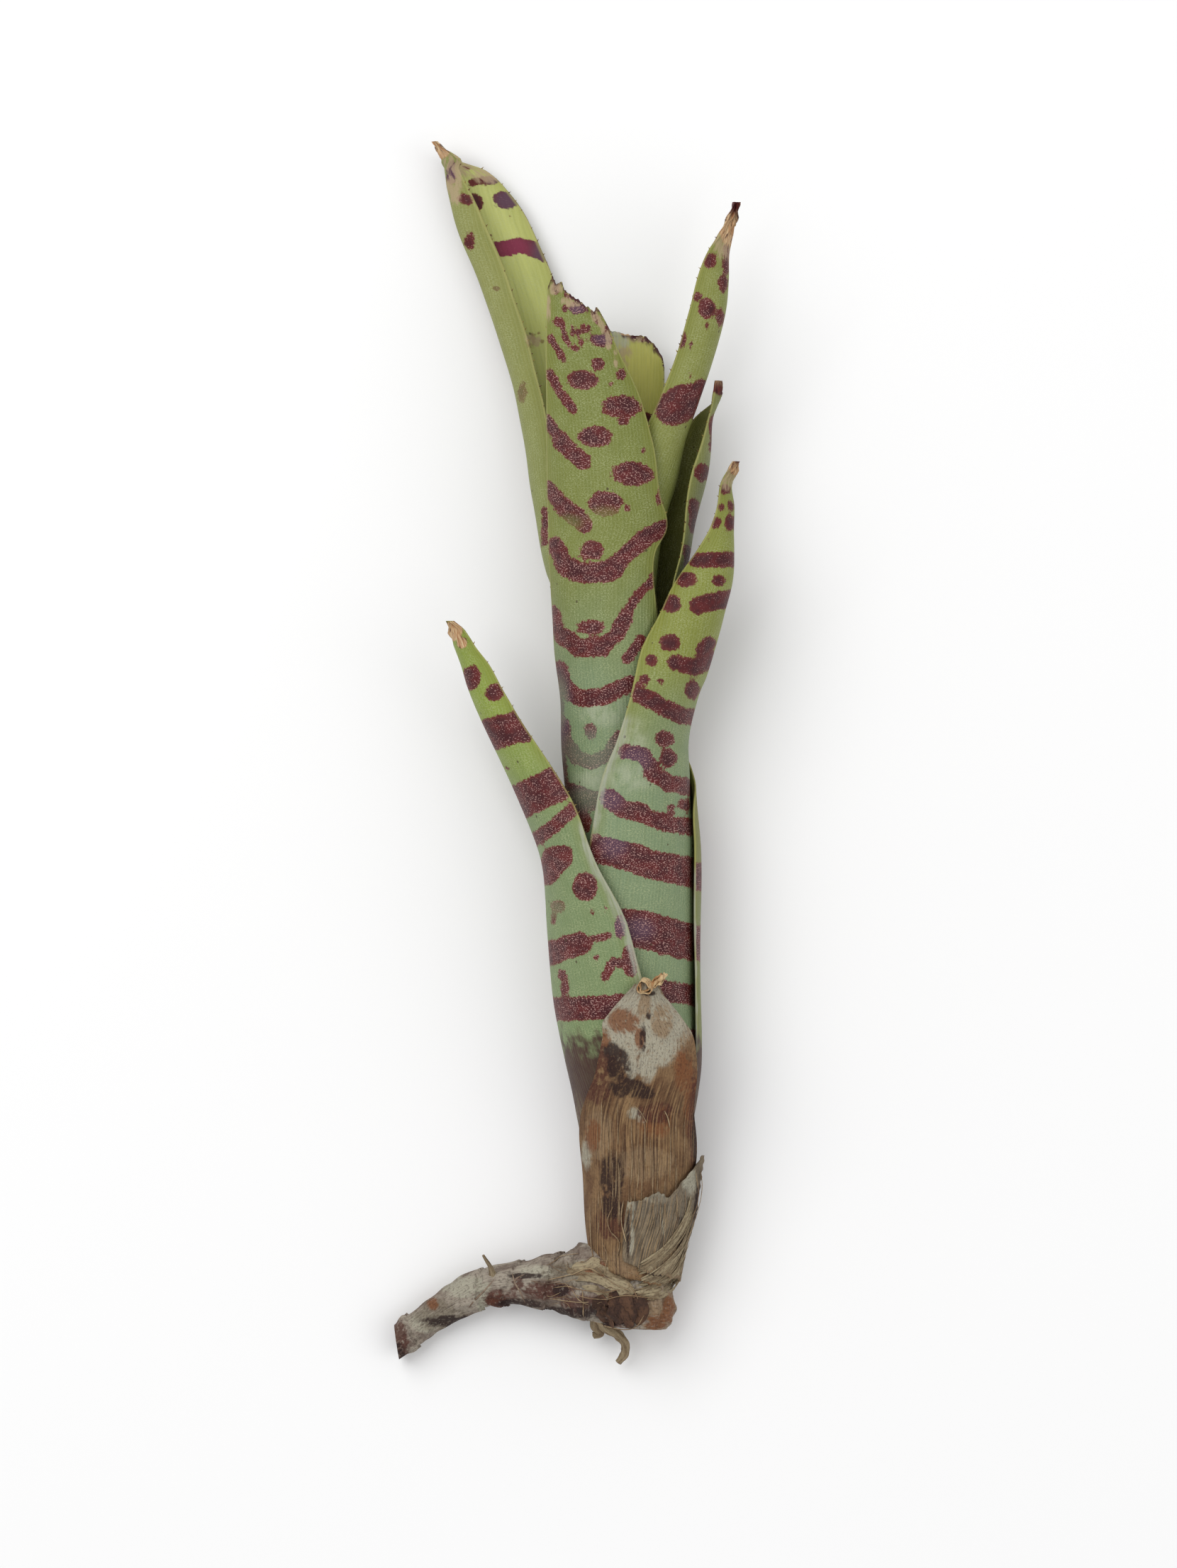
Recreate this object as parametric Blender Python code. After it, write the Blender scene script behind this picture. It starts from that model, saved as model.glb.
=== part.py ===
"""A bare-rooted offset of a banded tubular bromeliad, lying on its back leaf.

Lengths in the tables are millimetres and angles are degrees. The plant lies along Y, leaf tips
towards +Y and the cut stem towards -Y, with +Z up. A leaf is a strip of an elliptic tube whose
sections stand across Y. An angle on a section is 0 at the top, 90 at +X and -90 at -X.
"""
import math

import bmesh
import bpy
from mathutils import Matrix, Vector

MM = 0.001

# Driving dimensions
BLADE = 0.65          # thickness of a living leaf
PAPER = 0.6           # thickness of a dry leaf
LAYER = 1.1           # from one living sheath to the next one inside it
DRY_LAYER = 1.0       # from a dry sheath to the one it covers
ROW = 5.5             # mean spacing of the sections along a leaf
TIP_CROWDING = 0.1    # how much closer the sections stand near a tip
TOOTH = 0.45          # height of a marginal tooth
STOLON_END = (-28.8, -100.9, 2.8)    # a point of the stolon's cut end
STOLON_CUT = (1.0, 0.15, 0.0)        # which way the stolon goes on from its cut
SCALE_LIFT = 0.35     # how far a dry scale stands off the stolon at its free edge
NUDGE = 0.01          # step for reading a leaf's slant
MOST_SLANT = 0.65     # past this slant a leaf's thickness is no longer made up for
ENDWAYS = 0.6         # a side face turned more than this along Y belongs to a leaf's end
SMOOTH_UNDER = 40     # edges turned less than this are shaded smooth
BARK = (0.22, 0.17, 0.13)            # colour of the stem, the stolon and the roots
DULL = 0.85           # roughness of dry skin

# The tube of sheaths: y, centre x, centre z, outer radius of the outermost living sheath
TUBE = (
    (-90, 11.6, 6.9, 5.7),
    (-84, 11.6, 6.8, 6.9),
    (-78, 12.1, 6.9, 8.1),
    (-70, 12.4, 7.3, 8.8),
    (-64, 12.4, 8.2, 9.9),
    (-58, 12.3, 9.4, 11.1),
    (-52, 11.9, 10.5, 12.2),
    (-40, 10.8, 11.5, 13.2),
    (-28, 10.3, 11.9, 13.6),
    (-16, 9.9, 12.2, 14.0),
    (-4, 9.1, 12.2, 13.9),
    (8, 8.7, 12.5, 14.2),
    (20, 8.4, 12.7, 14.4),
    (32, 8.0, 12.9, 14.6),
    (48, 7.8, 13.1, 14.8),
)


def smooth(table, y):
    """Read a table at y, along a curve through its rows."""
    rows = sorted(table)
    last = len(rows) - 1
    if y <= rows[0][0]:
        return list(rows[0][1:])
    if y >= rows[last][0]:
        return list(rows[last][1:])
    i = max(k for k in range(last) if rows[k][0] <= y)
    y0, y1 = rows[i][0], rows[i + 1][0]
    span = y1 - y0
    t = (y - y0) / span
    values = []
    for c in range(1, len(rows[0])):
        p0, p1 = rows[i][c], rows[i + 1][c]
        slopes = []
        for k in (i, i + 1):
            a, b = rows[max(k - 1, 0)], rows[min(k + 1, last)]
            slopes.append((b[c] - a[c]) / (b[0] - a[0]) * span)
        values.append(
            (2 * t ** 3 - 3 * t ** 2 + 1) * p0
            + (t ** 3 - 2 * t ** 2 + t) * slopes[0]
            + (3 * t ** 2 - 2 * t ** 3) * p1
            + (t ** 3 - t ** 2) * slopes[1]
        )
    return values


def along(points, u):
    """Read a broken line of (place, value) points at u."""
    for (u0, v0), (u1, v1) in zip(points, points[1:]):
        if u <= u1:
            return v0 + (v1 - v0) * max(u - u0, 0) / (u1 - u0)
    return points[-1][1]


def leaf_table(depth, sheath, blade):
    """Join sheath rows (y, angles) on the tube, depth inside its outside, to free blade rows."""
    start, end = sheath[0][0], sheath[-1][0]
    places = {row[0] for row in sheath} | {row[0] for row in TUBE if start < row[0] < end}
    rows = []
    for y in sorted(places):
        x, z, radius = smooth(TUBE, y)
        rows.append((y, x, z, radius - depth, 1.0, *smooth(sheath, y)))
    return rows + list(blade)


def leaf_point(table, u, y, depth=0.0):
    """A point of a leaf at u (-1 and 1 are its margins) and y, depth inside its outer face."""
    x, z, radius, flat, first, last = smooth(table, y)
    angle = math.radians(first + (last - first) * (u + 1) / 2)
    wide, high = radius - depth, radius * flat - depth
    return Vector((x + wide * math.sin(angle), y, z + high * math.cos(angle)))


def section_depth(table, u, y, thick):
    """How deep the inner face lies in its section, where the leaf slants across it."""
    across = leaf_point(table, u + NUDGE, y) - leaf_point(table, u - NUDGE, y)
    ahead = leaf_point(table, u, y + NUDGE) - leaf_point(table, u, y - NUDGE)
    inwards = leaf_point(table, u, y, NUDGE) - leaf_point(table, u, y)
    upright = abs(across.cross(ahead).normalized().dot(inwards.normalized()))
    return thick / max(upright, MOST_SLANT)


def material(name, colour, roughness):
    made = bpy.data.materials.new(name)
    made.use_nodes = True
    shader = made.node_tree.nodes["Principled BSDF"]
    shader.inputs["Base Color"].default_value = (*colour, 1.0)
    shader.inputs["Roughness"].default_value = roughness
    shader.inputs["Metallic"].default_value = 0.0
    return made


def put_in_scene(name, bm, colour, roughness):
    """Make an object of a mesh in millimetres, shaded smooth except at its edges."""
    bmesh.ops.scale(bm, vec=(MM, MM, MM), verts=bm.verts[:])
    mesh = bpy.data.meshes.new(name)
    bm.to_mesh(mesh)
    bm.free()
    mesh.shade_smooth()
    mesh.set_sharp_from_angle(angle=math.radians(SMOOTH_UNDER))
    mesh.materials.append(material(name, colour, roughness))
    made = bpy.data.objects.new(name, mesh)
    bpy.context.collection.objects.link(made)
    return made


def leaf(name, table, ends, across, colour, roughness=0.55, thick=BLADE, teeth=None, on_surface=False):
    """Bend a flat slab into a leaf between its ends, each a (u, y) line, and tooth its margins."""
    base, top = ends
    rows = round((along(top, 0) - along(base, 0)) / ROW)
    bm = bmesh.new()
    bmesh.ops.create_grid(bm, x_segments=across, y_segments=rows, size=1.0)
    bmesh.ops.triangulate(bm, faces=bm.faces[:])
    bmesh.ops.solidify(bm, geom=bm.faces[:], thickness=1.0)
    for v in bm.verts:
        u = v.co.x
        s = (v.co.y + 1) / 2
        s += TIP_CROWDING * math.sin(math.pi * s)
        low, high = along(base, u), along(top, u)
        y = low + (high - low) * s
        depth = -v.co.z * section_depth(table, u, y, thick)
        v.co = leaf_point(table, u, y, depth)
        if on_surface:
            v.co.z = max(v.co.z, depth)
    if teeth:
        cut_teeth(bm, teeth)
    return put_in_scene(name, bm, colour, roughness)


def cut_teeth(bm, teeth):
    """Raise the middle of each margin face inside the y range to a low pyramid."""
    low, high = teeth
    margin = []
    bm.normal_update()
    for f in bm.faces:
        y = f.calc_center_median().y
        if len(f.verts) == 4 and low < y < high and abs(f.normal.y) < ENDWAYS:
            margin.append(f)
    bmesh.ops.poke(bm, faces=margin, offset=TOOTH)


for old in list(bpy.data.objects):
    bpy.data.objects.remove(old, do_unlink=True)


# Upper right leaf, the innermost one. Its outer face looks up and its left margin lies in front.
upper_right = leaf_table(
    7 * LAYER,
    ((-47, -150, 150), (-30, -120, 150), (-4, -95, 150), (20, -80, 150)),
    (
        (32, 8.8, 13.0, 6.8, 1.0, -70, 128),
        (41.6, 10.8, 13.3, 6.6, 1.0, -60, 115),
        (46, 12.6, 13.4, 6.1, 1.0, -48, 115),
        (53.5, 15.4, 13.7, 5.0, 1.0, -35, 125),
        (59.4, 17.9, 14.0, 4.5, 1.0, -32, 135),
        (66.5, 20.8, 14.3, 4.0, 1.0, -42, 140),
        (75, 23.3, 14.7, 3.6, 1.0, -44, 135),
        (80, 24.0, 15.0, 3.4, 1.0, -36, 122),
        (84.5, 23.9, 14.9, 3.6, 1.0, -3, 95),
        (87, 24.2, 14.6, 4.0, 1.0, 16, 75),
        (89, 24.5, 14.2, 4.6, 1.0, 25, 62),
        (92, 25.0, 13.2, 5.5, 1.0, 31, 50),
        (93.5, 24.9, 12.8, 6.0, 1.0, 36, 45),
    ),
)
leaf(
    "leaf_upper_right", upper_right,
    (((-1, -47), (1, -47)), ((-1, 93.2), (1, 93.2))),
    across=12, colour=(0.24, 0.30, 0.07), teeth=(40, 92),
)

# Inner cut leaf, at the back of the tube's mouth. Its inner face looks up; its top is cut across.
inner_cut = leaf_table(
    6 * LAYER,
    ((-52, 60, 300), (-30, 80, 290), (-4, 100, 280), (20, 112, 270)),
    (
        (30, 8.3, 13.0, 8.0, 1.0, 122, 264),
        (40, 8.9, 12.9, 7.8, 1.0, 134, 258),
        (50, 9.7, 12.7, 7.7, 1.0, 132, 255),
        (60, 10.4, 12.4, 7.5, 0.95, 125, 250),
        (74, 10.6, 12.2, 7.3, 0.9, 125, 250),
    ),
)
leaf(
    "leaf_inner_cut", inner_cut,
    (
        ((-1, -52), (1, -52)),
        ((-1, 65.5), (-0.95, 67.3), (-0.7, 69.8), (-0.5, 71), (0.05, 71.6), (0.33, 72.2), (1, 73)),
    ),
    across=10, colour=(0.32, 0.36, 0.09), teeth=(45, 66),
)

# Tall left leaf. It leaves the tube at the back left and opens to the right as a folded channel.
tall_left = leaf_table(
    5 * LAYER,
    ((-57, -230, 60), (-30, -225, 20), (-4, -215, -10), (16, -200, -30)),
    (
        (28, 7.0, 11.9, 9.5, 0.93, -180, -35),
        (31, 6.3, 11.3, 9.8, 0.87, -176, -35),
        (37, 4.9, 10.5, 9.6, 0.82, -178, -34),
        (44, 3.5, 9.8, 9.3, 0.78, -184, -33),
        (52, 1.9, 9.0, 8.9, 0.73, -190, -30),
        (61.7, -0.4, 8.1, 8.5, 0.67, -200, -28),
        (71.3, -3.4, 6.9, 8.4, 0.55, -210, -24),
        (80.9, -7.0, 6.0, 8.2, 0.44, -216, -22),
        (90.5, -11.0, 5.3, 7.8, 0.38, -217, -22),
        (96, -13.4, 5.3, 6.9, 0.4, -210, -28),
        (99.6, -15.8, 5.5, 4.9, 0.55, -204, -30),
        (101, -16.8, 5.6, 4.4, 0.8, -165, -14),
        (103, -17.4, 5.5, 4.6, 1.0, -100, -50),
        (104.5, -17.8, 5.4, 5.0, 1.0, -88, -70),
    ),
)
leaf(
    "leaf_tall_left", tall_left,
    (((-1, -57), (1, -57)), ((-1, 104.2), (1, 104.2))),
    across=12, colour=(0.26, 0.32, 0.08), teeth=(48, 101),
)

# Front cut leaf, the broad one in the middle. Its top is torn off along a slanting jagged line.
front_cut = leaf_table(
    4 * LAYER,
    ((-62, -140, 110), (-30, -120, 80), (-4, -100, 62), (8, -92, 56)),
    (
        (20, 8.0, 12.9, 10.2, 1.0, -88, 50),
        (30, 7.6, 12.6, 10.9, 1.0, -72, 41),
        (34, 7.5, 12.1, 11.5, 1.0, -66, 41),
        (38.4, 7.8, 11.6, 12.0, 1.0, -65, 51),
        (44, 8.0, 11.3, 12.4, 1.0, -64, 39),
        (52.3, 7.0, 12.0, 11.5, 1.0, -64, 42),
        (60, 5.6, 13.0, 10.3, 1.0, -60, 42),
        (68.5, 3.4, 14.6, 8.6, 1.0, -52, 37),
        (76, 2.5, 15.4, 7.8, 1.0, -49, 24),
        (82, 2.0, 15.8, 7.5, 1.0, -38, 5),
    ),
)
leaf(
    "leaf_front_cut", front_cut,
    (
        ((-1, -62), (1, -62)),
        (
            (-1, 78.5), (-0.84, 80.4), (-0.66, 79.2), (-0.32, 79.2), (0, 77.4), (0.31, 76.4),
            (0.67, 74.2), (0.83, 75.6), (1, 71.5),
        ),
    ),
    across=12, colour=(0.25, 0.32, 0.10), teeth=(30, 72),
)

# Slim right leaf, behind the upper right leaf, with a rounded dead tip.
slim_right = leaf_table(
    3 * LAYER,
    ((-68, -10, 240), (-30, 20, 240), (-4, 35, 235), (16, 50, 222)),
    (
        (28, 8.4, 12.6, 11.2, 1.0, 60, 197),
        (34, 11.2, 12.5, 9.8, 1.0, 57, 193),
        (37.7, 13.0, 12.4, 8.8, 1.0, 53, 195),
        (47.3, 17.9, 12.1, 6.0, 1.0, 33, 200),
        (52, 20.0, 12.0, 4.6, 1.0, 36, 203),
        (56.9, 22.1, 12.0, 2.9, 1.0, 44, 190),
        (59, 22.5, 12.1, 3.2, 1.0, 42, 150),
        (61, 22.5, 12.1, 3.8, 1.0, 39, 102),
        (62.3, 22.0, 11.8, 4.5, 1.0, 43, 80),
        (63.4, 21.5, 11.7, 5.0, 1.0, 53, 70),
    ),
)
leaf(
    "leaf_slim_right", slim_right,
    (((-1, -68), (1, -68)), ((-1, 63.2), (1, 63.2))),
    across=12, colour=(0.16, 0.19, 0.06), teeth=(24, 60),
)

# Front right leaf. Its sheath closes over the front and its blade leans out to the right.
front_right = leaf_table(
    2 * LAYER,
    ((-75, -90, 150), (-50, -70, 152), (-28, -45, 155), (-12, -26, 155), (-4, -15, 155), (2, -2, 155)),
    (
        (9.8, 11.6, 13.4, 10.9, 1.0, -4, 155),
        (13.2, 14.0, 14.0, 9.9, 1.0, -14, 158),
        (18.2, 16.7, 14.8, 8.6, 1.0, -26, 160),
        (23.6, 19.6, 15.6, 7.2, 1.0, -33, 160),
        (28.7, 22.0, 16.1, 6.0, 1.0, -40, 158),
        (34.4, 24.4, 16.5, 4.0, 1.0, -37, 150),
        (38, 25.0, 16.6, 3.4, 1.0, -14, 135),
        (42, 25.2, 16.4, 3.2, 1.0, 5, 108),
        (45.5, 24.5, 16.2, 3.6, 1.0, 26, 90),
        (48, 24.8, 15.7, 4.5, 1.0, 34, 75),
        (49.6, 24.7, 15.5, 5.0, 1.0, 46, 64),
    ),
)
leaf(
    "leaf_front_right", front_right,
    (((-1, -75), (1, -75)), ((-1, 49.4), (1, 49.4))),
    across=12, colour=(0.26, 0.34, 0.10), teeth=(8, 47),
)

# Back leaf. The plant lies on it: its belly is settled flat and its blade runs on along the surface.
back = leaf_table(
    LAYER,
    ((-79, 70, 262), (-52, 76, 262), (-28, 78, 245), (-16, 79, 232), (-8, 82, 226)),
    (
        (-3, 9.1, 12.2, 12.8, 1.0, 104, 224),
        (3, 9.1, 12.4, 13.0, 1.0, 128, 222),
        (14, 9.6, 12.5, 13.1, 1.0, 142, 217),
        (22, 10.0, 12.5, 13.1, 1.0, 155, 207),
        (28, 10.4, 12.5, 13.1, 1.0, 172, 192),
        (31, 10.8, 12.5, 13.1, 1.0, 179, 183),
    ),
)
leaf(
    "leaf_back", back,
    (((-1, -79), (1, -79)), ((-1, 30.7), (1, 30.7))),
    across=12, colour=(0.20, 0.22, 0.06), teeth=(0, 29), on_surface=True,
)

# Front left leaf, the outermost living one. Its short blade leans out to the left.
front_left = leaf_table(
    0.0,
    (
        (-82, -140, 60), (-60, -140, 40), (-44, -140, 16), (-36.6, -140, 8), (-28.6, -140, 0),
        (-24.7, -141, -7),
    ),
    (
        (-18.5, 9.0, 12.2, 13.3, 1.0, -144, -17),
        (-14.2, 6.3, 12.3, 11.8, 1.0, -150, -14),
        (-6.8, 0.2, 12.9, 8.7, 1.0, -162, 2),
        (4.8, -8.4, 14.0, 5.6, 1.0, -165, 14),
        (11, -12.2, 14.6, 4.3, 1.0, -160, 20),
        (15, -14.1, 15.0, 3.6, 1.0, -155, 20),
        (18, -15.3, 15.0, 3.6, 1.0, -125, 2),
        (20, -15.7, 14.9, 4.0, 1.0, -96, -11),
        (21.4, -15.6, 14.5, 4.6, 1.0, -74, -27),
        (22.6, -15.7, 14.5, 5.0, 1.0, -64, -46),
    ),
)
leaf(
    "leaf_front_left", front_left,
    (((-1, -82), (1, -82)), ((-1, 22.5), (1, 22.5))),
    across=12, colour=(0.26, 0.34, 0.10), teeth=(-12, 21),
)

# Papery leaf, dead and dry, closed over the front of the base and ending in a curled tip.
papery = leaf_table(
    -DRY_LAYER,
    (
        (-85, -84, 78), (-70, -84, 75), (-61, -60, 55), (-54.8, -36, 51), (-47.4, -23, 47),
        (-45.2, -22, 40), (-43.2, -15, 33), (-40.7, -5, 24), (-38.6, 3, 20), (-36.4, 8, 16),
    ),
    (),
)
leaf(
    "papery_leaf", papery,
    (((-1, -85), (1, -85)), ((-1, -36.8), (1, -36.8))),
    across=10, colour=(0.27, 0.20, 0.13), roughness=DULL, thick=PAPER,
)

# Torn sheath, the grey fibrous rest of an older leaf base, round the lower right of the tube.
torn = leaf_table(
    -2 * DRY_LAYER,
    ((-90, 0, 122), (-80, 0, 122), (-70, 22, 120), (-64, 40, 116)),
    (),
)
leaf(
    "torn_sheath", torn,
    (
        ((-1, -85.5), (-0.5, -88), (1, -90)),
        (
            (-1, -75.5), (-0.8, -75.3), (-0.6, -73.8), (-0.4, -74.9), (-0.2, -72), (0, -69.2),
            (0.2, -68), (0.5, -70), (0.8, -74), (1, -77),
        ),
    ),
    across=10, colour=(0.30, 0.27, 0.23), roughness=DULL, thick=PAPER,
)


def ring(bm, centre, direction, radius, sides):
    """One loop of edges across a stalk."""
    turn = Vector((0, 0, 1)).rotation_difference(Vector(direction)).to_matrix().to_4x4()
    place = Matrix.Translation(Vector(centre)) @ turn
    made = bmesh.ops.create_circle(bm, cap_ends=False, segments=sides, radius=radius, matrix=place)
    return list({e for v in made["verts"] for e in v.link_edges})


def stalk(name, stations, sides):
    """A closed stalk through stations of (x, y, z, radius)."""
    bm = bmesh.new()
    points = [Vector(s[:3]) for s in stations]
    loops = []
    for i, (x, y, z, radius) in enumerate(stations):
        before, after = points[max(i - 1, 0)], points[min(i + 1, len(points) - 1)]
        loops.append(ring(bm, (x, y, z), (after - before).normalized(), radius, sides))
    for first, second in zip(loops, loops[1:]):
        bmesh.ops.bridge_loops(bm, edges=first + second)
    for loop in (loops[0], loops[-1]):
        bmesh.ops.contextual_create(bm, geom=loop)
    bmesh.ops.recalc_face_normals(bm, faces=bm.faces[:])
    return put_in_scene(name, bm, BARK, DULL)


def smooth_stalk(name, stations, sides, steps, scales=()):
    """A stalk along a smooth curve. Each scale (foot, edge) wraps it between two stations."""
    table = [(i, *s) for i, s in enumerate(stations)]
    read = []
    for k in range((len(stations) - 1) * steps + 1):
        at = k / steps
        x, y, z, radius = smooth(table, at)
        for foot, edge in scales:
            if foot < at <= edge:
                radius += SCALE_LIFT * (at - foot) / (edge - foot)
        read.append((x, y, z, radius))
    return stalk(name, read, sides)


def cut_off(stalk_object, point, normal):
    """Cut a stalk at a plane, keep what the normal points to, and close the cut."""
    bm = bmesh.new()
    bm.from_mesh(stalk_object.data)
    everything = bm.verts[:] + bm.edges[:] + bm.faces[:]
    cut = bmesh.ops.bisect_plane(
        bm, geom=everything, clear_inner=True, plane_co=point, plane_no=normal,
    )
    rim = [g for g in cut["geom_cut"] if isinstance(g, bmesh.types.BMEdge)]
    bmesh.ops.contextual_create(bm, geom=rim)
    bm.to_mesh(stalk_object.data)
    bm.free()


def fuse(body, others, name):
    """Join the others to the body as one solid and remove them."""
    group = bpy.data.collections.new(name)
    bpy.context.scene.collection.children.link(group)
    for other in others:
        group.objects.link(other)
    union = body.modifiers.new("union", "BOOLEAN")
    union.operation = "UNION"
    union.operand_type = "COLLECTION"
    union.collection = group
    union.solver = "EXACT"
    bpy.context.view_layer.update()
    seen = body.evaluated_get(bpy.context.evaluated_depsgraph_get())
    joined = bpy.data.meshes.new_from_object(seen)
    body.modifiers.clear()
    body.data = joined
    for other in others:
        bpy.data.objects.remove(other, do_unlink=True)
    bpy.data.collections.remove(group)
    body.name = name
    return body


# Stem, with its cut foot, the stolon that carried the plant, and the roots. They grew as one.
stem = stalk(
    "stem",
    (
        (11.5, -97.4, 6.9, 5.2),
        (11.7, -94.5, 6.9, 6.4),
        (11.7, -89.5, 6.9, 5.9),
        (11.6, -84.0, 6.8, 5.2),
        (12.1, -78.0, 6.9, 4.3),
        (12.4, -71.5, 7.2, 3.7),
        (12.4, -64.0, 8.1, 3.5),
        (12.3, -58.0, 9.5, 3.5),
        (11.9, -52.0, 10.5, 3.1),
        (11.4, -46.5, 11.0, 2.6),
        (11.2, -43.5, 11.2, 1.4),
    ),
    sides=14,
)
stolon = smooth_stalk(
    "stolon",
    (
        (-31.6, -102.6, 3.0, 2.3),
        (-28.8, -100.2, 3.0, 2.4),
        (-26.3, -98.3, 3.0, 2.55),
        (-22.9, -95.7, 3.1, 2.55),
        (-19.4, -93.4, 3.3, 2.65),
        (-15.8, -91.6, 3.7, 2.8),
        (-12.3, -90.5, 4.2, 3.0),
        (-6.7, -90.0, 5.2, 3.6),
        (-1.4, -89.9, 6.0, 4.3),
        (2.2, -90.4, 6.5, 5.0),
        (7.0, -91.5, 6.9, 5.3),
    ),
    sides=12,
    steps=4,
    scales=((0.6, 2.0), (2.3, 4.0), (4.3, 5.5), (5.7, 7.0)),
)
cut_off(stolon, Vector(STOLON_END) * MM, Vector(STOLON_CUT))
long_root = smooth_stalk(
    "long_root",
    (
        (5.5, -95.5, 6.0, 1.3),
        (6.8, -97.9, 5.4, 1.1),
        (8.9, -99.3, 4.6, 1.0),
        (10.1, -101.5, 3.8, 0.9),
        (8.9, -104.0, 3.2, 0.6),
    ),
    sides=6,
    steps=2,
)
short_root = stalk(
    "short_root",
    ((5.0, -95.0, 5.0, 1.2), (4.6, -97.6, 4.2, 1.1), (5.4, -99.2, 3.8, 0.7)),
    sides=6,
)
bract_spine = stalk(
    "bract_spine",
    ((-12.0, -90.0, 5.6, 1.1), (-12.8, -87.3, 7.6, 0.7), (-14.1, -85.0, 8.8, 0.35)),
    sides=5,
)
fuse(stem, (stolon, long_root, short_root, bract_spine), "stem_and_stolon")
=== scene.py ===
"""A bare-rooted offset of a banded tubular bromeliad, lying down and seen from straight above."""
import math

import bmesh
import bpy
import numpy as np
from mathutils import Matrix, Vector
from mathutils.bvhtree import BVHTree


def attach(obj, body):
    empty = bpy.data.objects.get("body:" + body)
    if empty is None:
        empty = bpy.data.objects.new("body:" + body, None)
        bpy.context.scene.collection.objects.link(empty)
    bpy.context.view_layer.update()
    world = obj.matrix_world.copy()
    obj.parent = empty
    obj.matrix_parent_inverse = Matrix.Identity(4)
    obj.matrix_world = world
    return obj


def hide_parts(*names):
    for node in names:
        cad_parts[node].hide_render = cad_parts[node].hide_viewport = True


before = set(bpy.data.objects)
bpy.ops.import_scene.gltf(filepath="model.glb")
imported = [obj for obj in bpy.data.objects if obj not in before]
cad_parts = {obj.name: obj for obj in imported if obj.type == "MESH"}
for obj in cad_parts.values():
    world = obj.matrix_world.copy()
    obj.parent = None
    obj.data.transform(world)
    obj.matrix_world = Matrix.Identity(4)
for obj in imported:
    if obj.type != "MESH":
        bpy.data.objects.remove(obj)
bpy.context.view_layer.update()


# The view. The photograph shows the plant upright and flat on, so the camera hangs straight above
# the lying plant, far enough up for the long lens of a product picture.
MM = 0.001
PIXEL = 0.12                     # millimetres of the plant in one pixel of the photograph
ORIGIN_PIXEL = (798.5, 1064.0)   # where the photograph shows the frame's origin
PHOTO_PIXELS = (1660, 2212)
CAMERA_HEIGHT = 1500.0           # above the middle of the plant
PLANT_MIDDLE = 13.0
SENSOR = 36.0
SIGHT = 10.0                     # metres that the camera sees


def seen_at(px, py):
    """The place in millimetres, on the plan, of a pixel of the photograph."""
    return (px - ORIGIN_PIXEL[0]) * PIXEL, (ORIGIN_PIXEL[1] - py) * PIXEL


middle_x, middle_y = seen_at(PHOTO_PIXELS[0] / 2, PHOTO_PIXELS[1] / 2)
lens = bpy.data.cameras.new("view_from_above")
lens.sensor_fit = "VERTICAL"
lens.sensor_height = SENSOR
lens.lens = SENSOR * CAMERA_HEIGHT / (PHOTO_PIXELS[1] * PIXEL)
lens.clip_end = SIGHT
camera = bpy.data.objects.new("view_from_above", lens)
camera.location = Vector((middle_x, middle_y, PLANT_MIDDLE + CAMERA_HEIGHT)) * MM
bpy.context.scene.collection.objects.link(camera)
bpy.context.scene.camera = camera


# Upper right leaf, the innermost of the living ones. Each leaf is a stiff strap of green tissue
# rolled into part of a tube, with fine parallel veins, maroon blotches and a skin of pale scales.
# It grows out of the stem inside all the others, and its tip has died back to straw.
LAYER = 1.1           # from one living sheath to the next one inside it
BLADE = 0.6           # thickness of a living leaf along its middle
THIN_EDGE = 0.25      # thickness at its margins
EDGE_BAND = 2.5       # width over which it thins
VEINS_MEET = 7.0      # half width under which the veins draw together

# The tube of sheaths: y, centre x, centre z, outer radius of the outermost living sheath
TUBE = (
    (-90, 11.6, 6.9, 5.7), (-84, 11.6, 6.8, 6.9), (-78, 12.1, 6.9, 8.1), (-70, 12.4, 7.3, 8.8),
    (-64, 12.4, 8.2, 9.9), (-58, 12.3, 9.4, 11.1), (-52, 11.9, 10.5, 12.2), (-40, 10.8, 11.5, 13.2),
    (-28, 10.3, 11.9, 13.6), (-16, 9.9, 12.2, 14.0), (-4, 9.1, 12.2, 13.9), (8, 8.7, 12.5, 14.2),
    (20, 8.4, 12.7, 14.4), (32, 8.0, 12.9, 14.6), (48, 7.8, 13.1, 14.8),
)


def smooth(table, places):
    """Read a table of rows (place, values) at many places, along a curve through its rows."""
    rows = np.array(sorted(table), dtype=float)
    at, values = rows[:, 0], rows[:, 1:]
    order = np.arange(len(rows))
    before, after = np.maximum(order - 1, 0), np.minimum(order + 1, len(rows) - 1)
    slopes = (values[after] - values[before]) / (at[after] - at[before])[:, None]
    places = np.clip(np.asarray(places, dtype=float), at[0], at[-1])
    i = np.clip(np.searchsorted(at, places, side="right") - 1, 0, len(rows) - 2)
    span = (at[i + 1] - at[i])[:, None]
    t = (places[:, None] - at[i][:, None]) / span
    return (
        (2 * t ** 3 - 3 * t ** 2 + 1) * values[i]
        + (t ** 3 - 2 * t ** 2 + t) * slopes[i] * span
        + (3 * t ** 2 - 2 * t ** 3) * values[i + 1]
        + (t ** 3 - t ** 2) * slopes[i + 1] * span
    )


def step_up(values, low, high):
    """0 up to low, 1 from high on, and a soft step between them. It also runs from high to low."""
    t = np.clip((values - low) / (high - low), 0.0, 1.0)
    return t * t * (3 - 2 * t)


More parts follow.
